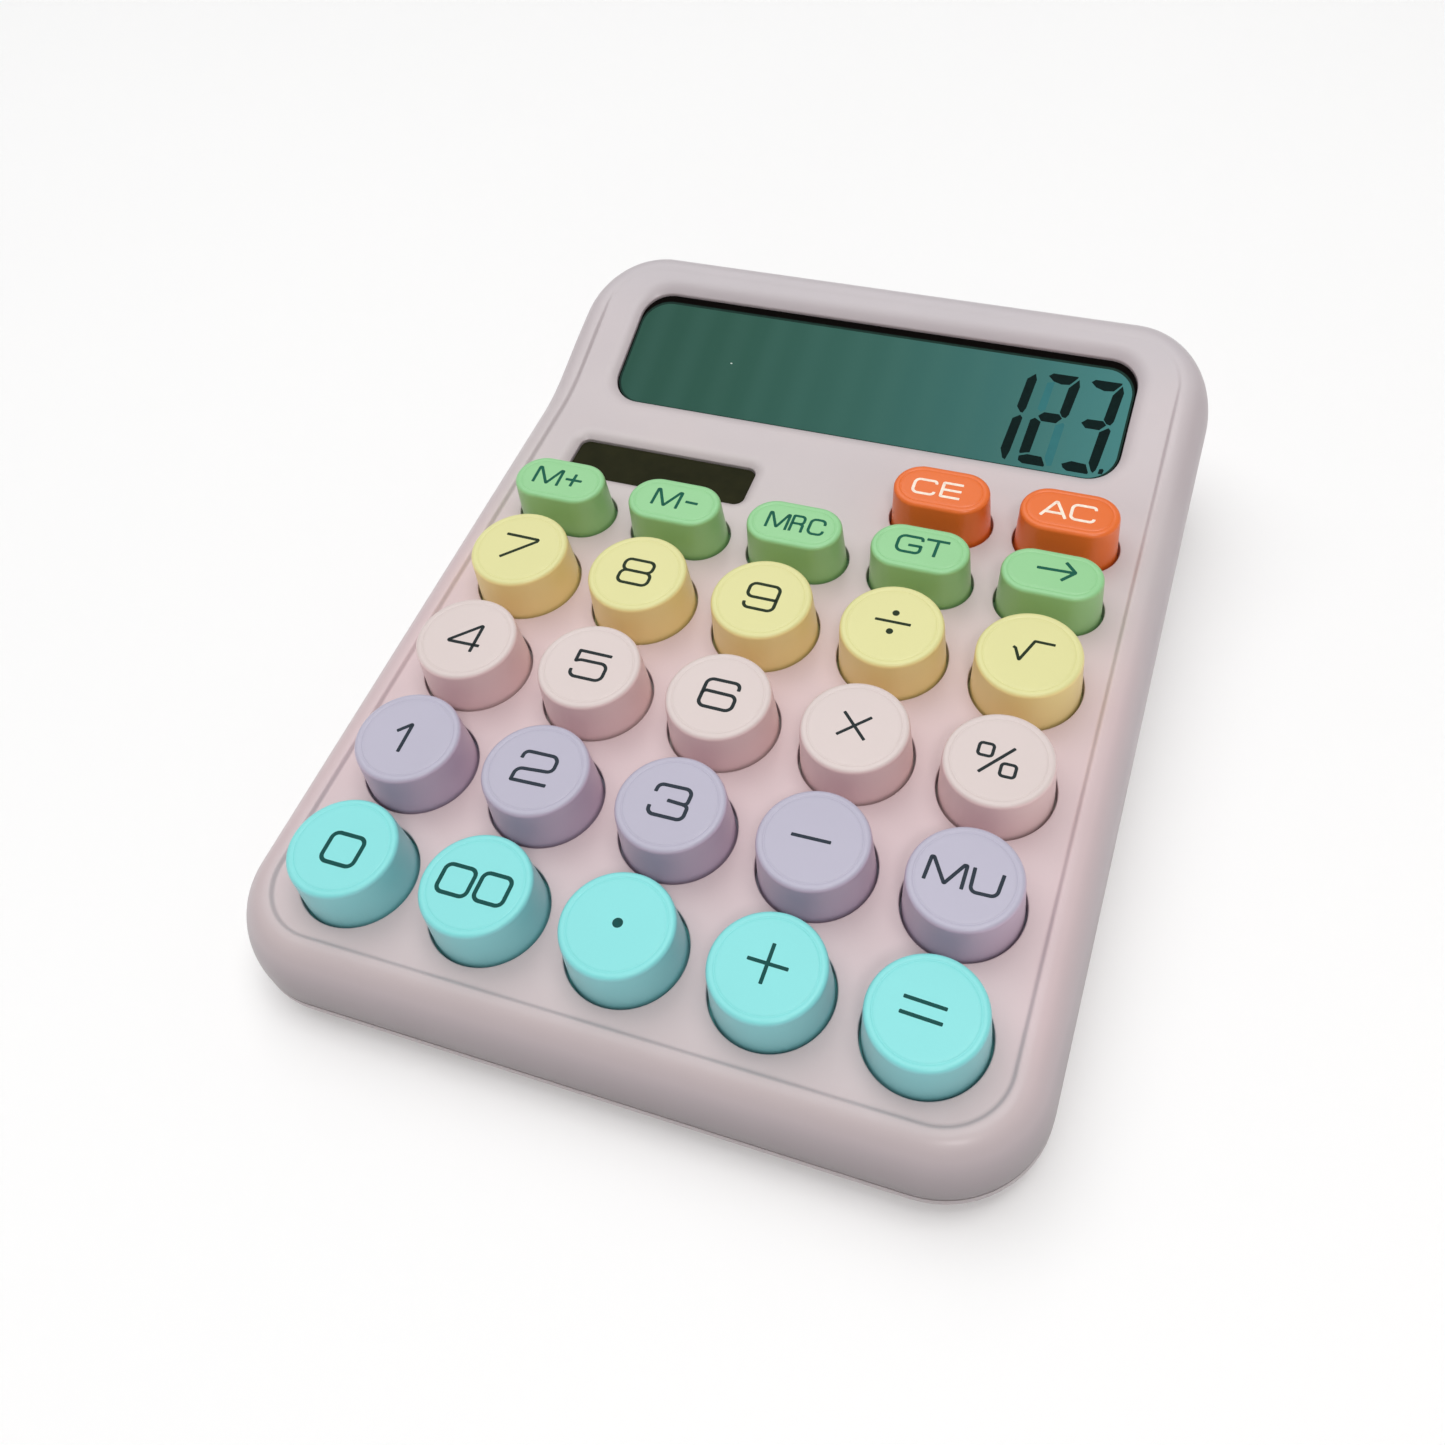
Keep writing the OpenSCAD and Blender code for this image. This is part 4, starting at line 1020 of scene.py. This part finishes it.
put("solar_pad", soft("pad_foam", [0.02, 0.02, 0.02, 1], 0.85, 900.0, 0.5, 0.15))
m = Mat("board_mask", 0.36, 0.5, 0.0, 0.2, 0.12)
n = m.noise(420.0, 4.0, 0.6)
brick = m.node("ShaderNodeTexBrick")
brick.inputs["Scale"].default_value = 110.0
brick.inputs["Mortar Size"].default_value = 0.04
brick.inputs["Color1"].default_value = [0.012, 0.085, 0.040, 1]
brick.inputs["Color2"].default_value = [0.014, 0.100, 0.046, 1]
brick.inputs["Mortar"].default_value = [0.022, 0.150, 0.070, 1]
m.link(m.tc.outputs["Object"], brick.inputs["Vector"])
m.color(m.mix(m.value(n, 0.3, 0.7, 0.0, 0.5), brick.outputs["Color"], [0.010, 0.070, 0.035, 1]))
m.bump(brick.outputs["Fac"], 0.12, 0.00003)
put("main_board", m.m)
put("contact_pads", metal("pad_plating", [0.75, 0.55, 0.22, 1], 0.32))
m = Mat("silicone_mat", 0.5, 0.4)
m.b.inputs["Subsurface Weight"].default_value = 0.15
m.b.inputs["Subsurface Scale"].default_value = 0.001
n = m.noise(300.0, 3.0, 0.6)
m.color(m.ramp(n, [(0.3, [0.60, 0.60, 0.58, 1]), (0.7, [0.66, 0.66, 0.63, 1])]))
m.bump(m.noise(2600.0, 2.0, 0.6), 0.10, 0.00004)
put("keypad_mat", m.m)
put("processor_blob", soft("potting_resin", [0.010, 0.010, 0.011, 1], 0.25, 500.0, 0.1, 0.5))
put("board_parts", soft("component_case", [0.03, 0.027, 0.025, 1], 0.5, 900.0, 0.15, 0.4))
put("battery_wires", soft("red_insulation", [0.42, 0.02, 0.015, 1], 0.45, 1200.0, 0.1, 0.4))
put("solar_wires", soft("black_insulation", [0.02, 0.02, 0.02, 1], 0.45, 1200.0, 0.1, 0.4))

# ------------------------------------------------------------------ stage
me = bpy.data.meshes.new("floor")
R = 3.2
ring_r = [0.0, 0.3, 1.0, 2.2, 2.6, 2.9, 3.1, R, R + 0.02, R + 0.02]
ring_z = [0.0, 0.0, 0.0, 0.0, 0.03, 0.12, 0.30, 0.6, 1.2, 3.0]
verts, faces = [(0, 0, 0)], []
SEGN = 96
for r, z in zip(ring_r[1:], ring_z[1:]):
    verts += [(r * math.cos(2 * math.pi * k / SEGN), r * math.sin(2 * math.pi * k / SEGN), z) for k in range(SEGN)]
for k in range(SEGN):
    faces.append((0, 1 + k, 1 + (k + 1) % SEGN))
for i in range(len(ring_r) - 2):
    for k in range(SEGN):
        a, b = 1 + i * SEGN + k, 1 + i * SEGN + (k + 1) % SEGN
        faces.append((a, a + SEGN, b + SEGN, b))
me.from_pydata(verts, [], faces)
me.polygons.foreach_set("use_smooth", [True] * len(me.polygons))
floor = bpy.data.objects.new("floor", me)
bpy.context.scene.collection.objects.link(floor)
m = Mat("floor_paper", 0.9, 0.15)
n = m.noise(3.0, 2.0, 0.5)
m.color(m.ramp(n, [(0.3, [0.86, 0.86, 0.855, 1]), (0.7, [0.88, 0.88, 0.875, 1])]))
m.b.inputs["Emission Color"].default_value = (1, 1, 0.995, 1)
m.b.inputs["Emission Strength"].default_value = 0.095
me.materials.append(m.m)


def area(name, loc, target, size, power, color=(1, 1, 1), size_y=None):
    d = bpy.data.lights.new(name, "AREA")
    d.energy = power
    d.color = color
    d.size = size
    if size_y:
        d.shape = "RECTANGLE"
        d.size_y = size_y
    o = bpy.data.objects.new(name, d)
    o.location = loc
    o.rotation_mode = "QUATERNION"
    o.rotation_quaternion = (Vector(target) - Vector(loc)).to_track_quat("-Z", "Y")
    bpy.context.scene.collection.objects.link(o)
    return o


area("top_light", (0.22, 0.05, 1.05), (0, 0, 0), 0.42, 2.0, (1.0, 0.985, 0.97))
area("front_light", (0.35, -0.61, 0.91), (0, 0, 0.01), 0.20, 2.7, (1.0, 0.970, 0.970))
area("wide_light", (-0.35, 0.25, 1.35), (0, 0, 0), 1.5, 12.4, (0.985, 0.99, 1.0))

world = bpy.data.worlds.new("studio")
bpy.context.scene.world = world
world.use_nodes = True
nt = world.node_tree
bg = nt.nodes["Background"]
tc = nt.nodes.new("ShaderNodeTexCoord")
sx = nt.nodes.new("ShaderNodeSeparateXYZ")
rp = nt.nodes.new("ShaderNodeValToRGB")
rp.color_ramp.elements[0].position = 0.0
rp.color_ramp.elements[0].color = (0.42, 0.42, 0.43, 1)
rp.color_ramp.elements[1].position = 1.0
rp.color_ramp.elements[1].color = (0.80, 0.80, 0.81, 1)
nt.links.new(tc.outputs["Generated"], sx.inputs["Vector"])
nt.links.new(sx.outputs["Z"], rp.inputs["Fac"])
nt.links.new(rp.outputs["Color"], bg.inputs["Color"])
bg.inputs["Strength"].default_value = 0.26

bpy.context.scene.view_settings.view_transform = "Standard"
bpy.context.scene.view_settings.look = "None"

# ------------------------------------------------------------------ camera
cam_data = bpy.data.cameras.new("camera")
cam = bpy.data.objects.new("camera", cam_data)
bpy.context.scene.collection.objects.link(cam)
right = Vector((0.944347, 0.324089, -0.056348))
up = Vector((-0.217266, 0.743121, 0.632904))
look = Vector((-0.24699, 0.585438, -0.772177))
rot = Matrix((right, up, -look)).transposed()
cam.matrix_world = Matrix.Translation((0.05135, -0.121977, 0.15584)) @ rot.to_4x4()
cam_data.sensor_width = 36.0
cam_data.lens = 32.5278
cam_data.shift_x = -0.03943
cam_data.shift_y = -0.00355
cam_data.clip_start = 0.01
cam_data.clip_end = 50.0
bpy.context.scene.camera = cam
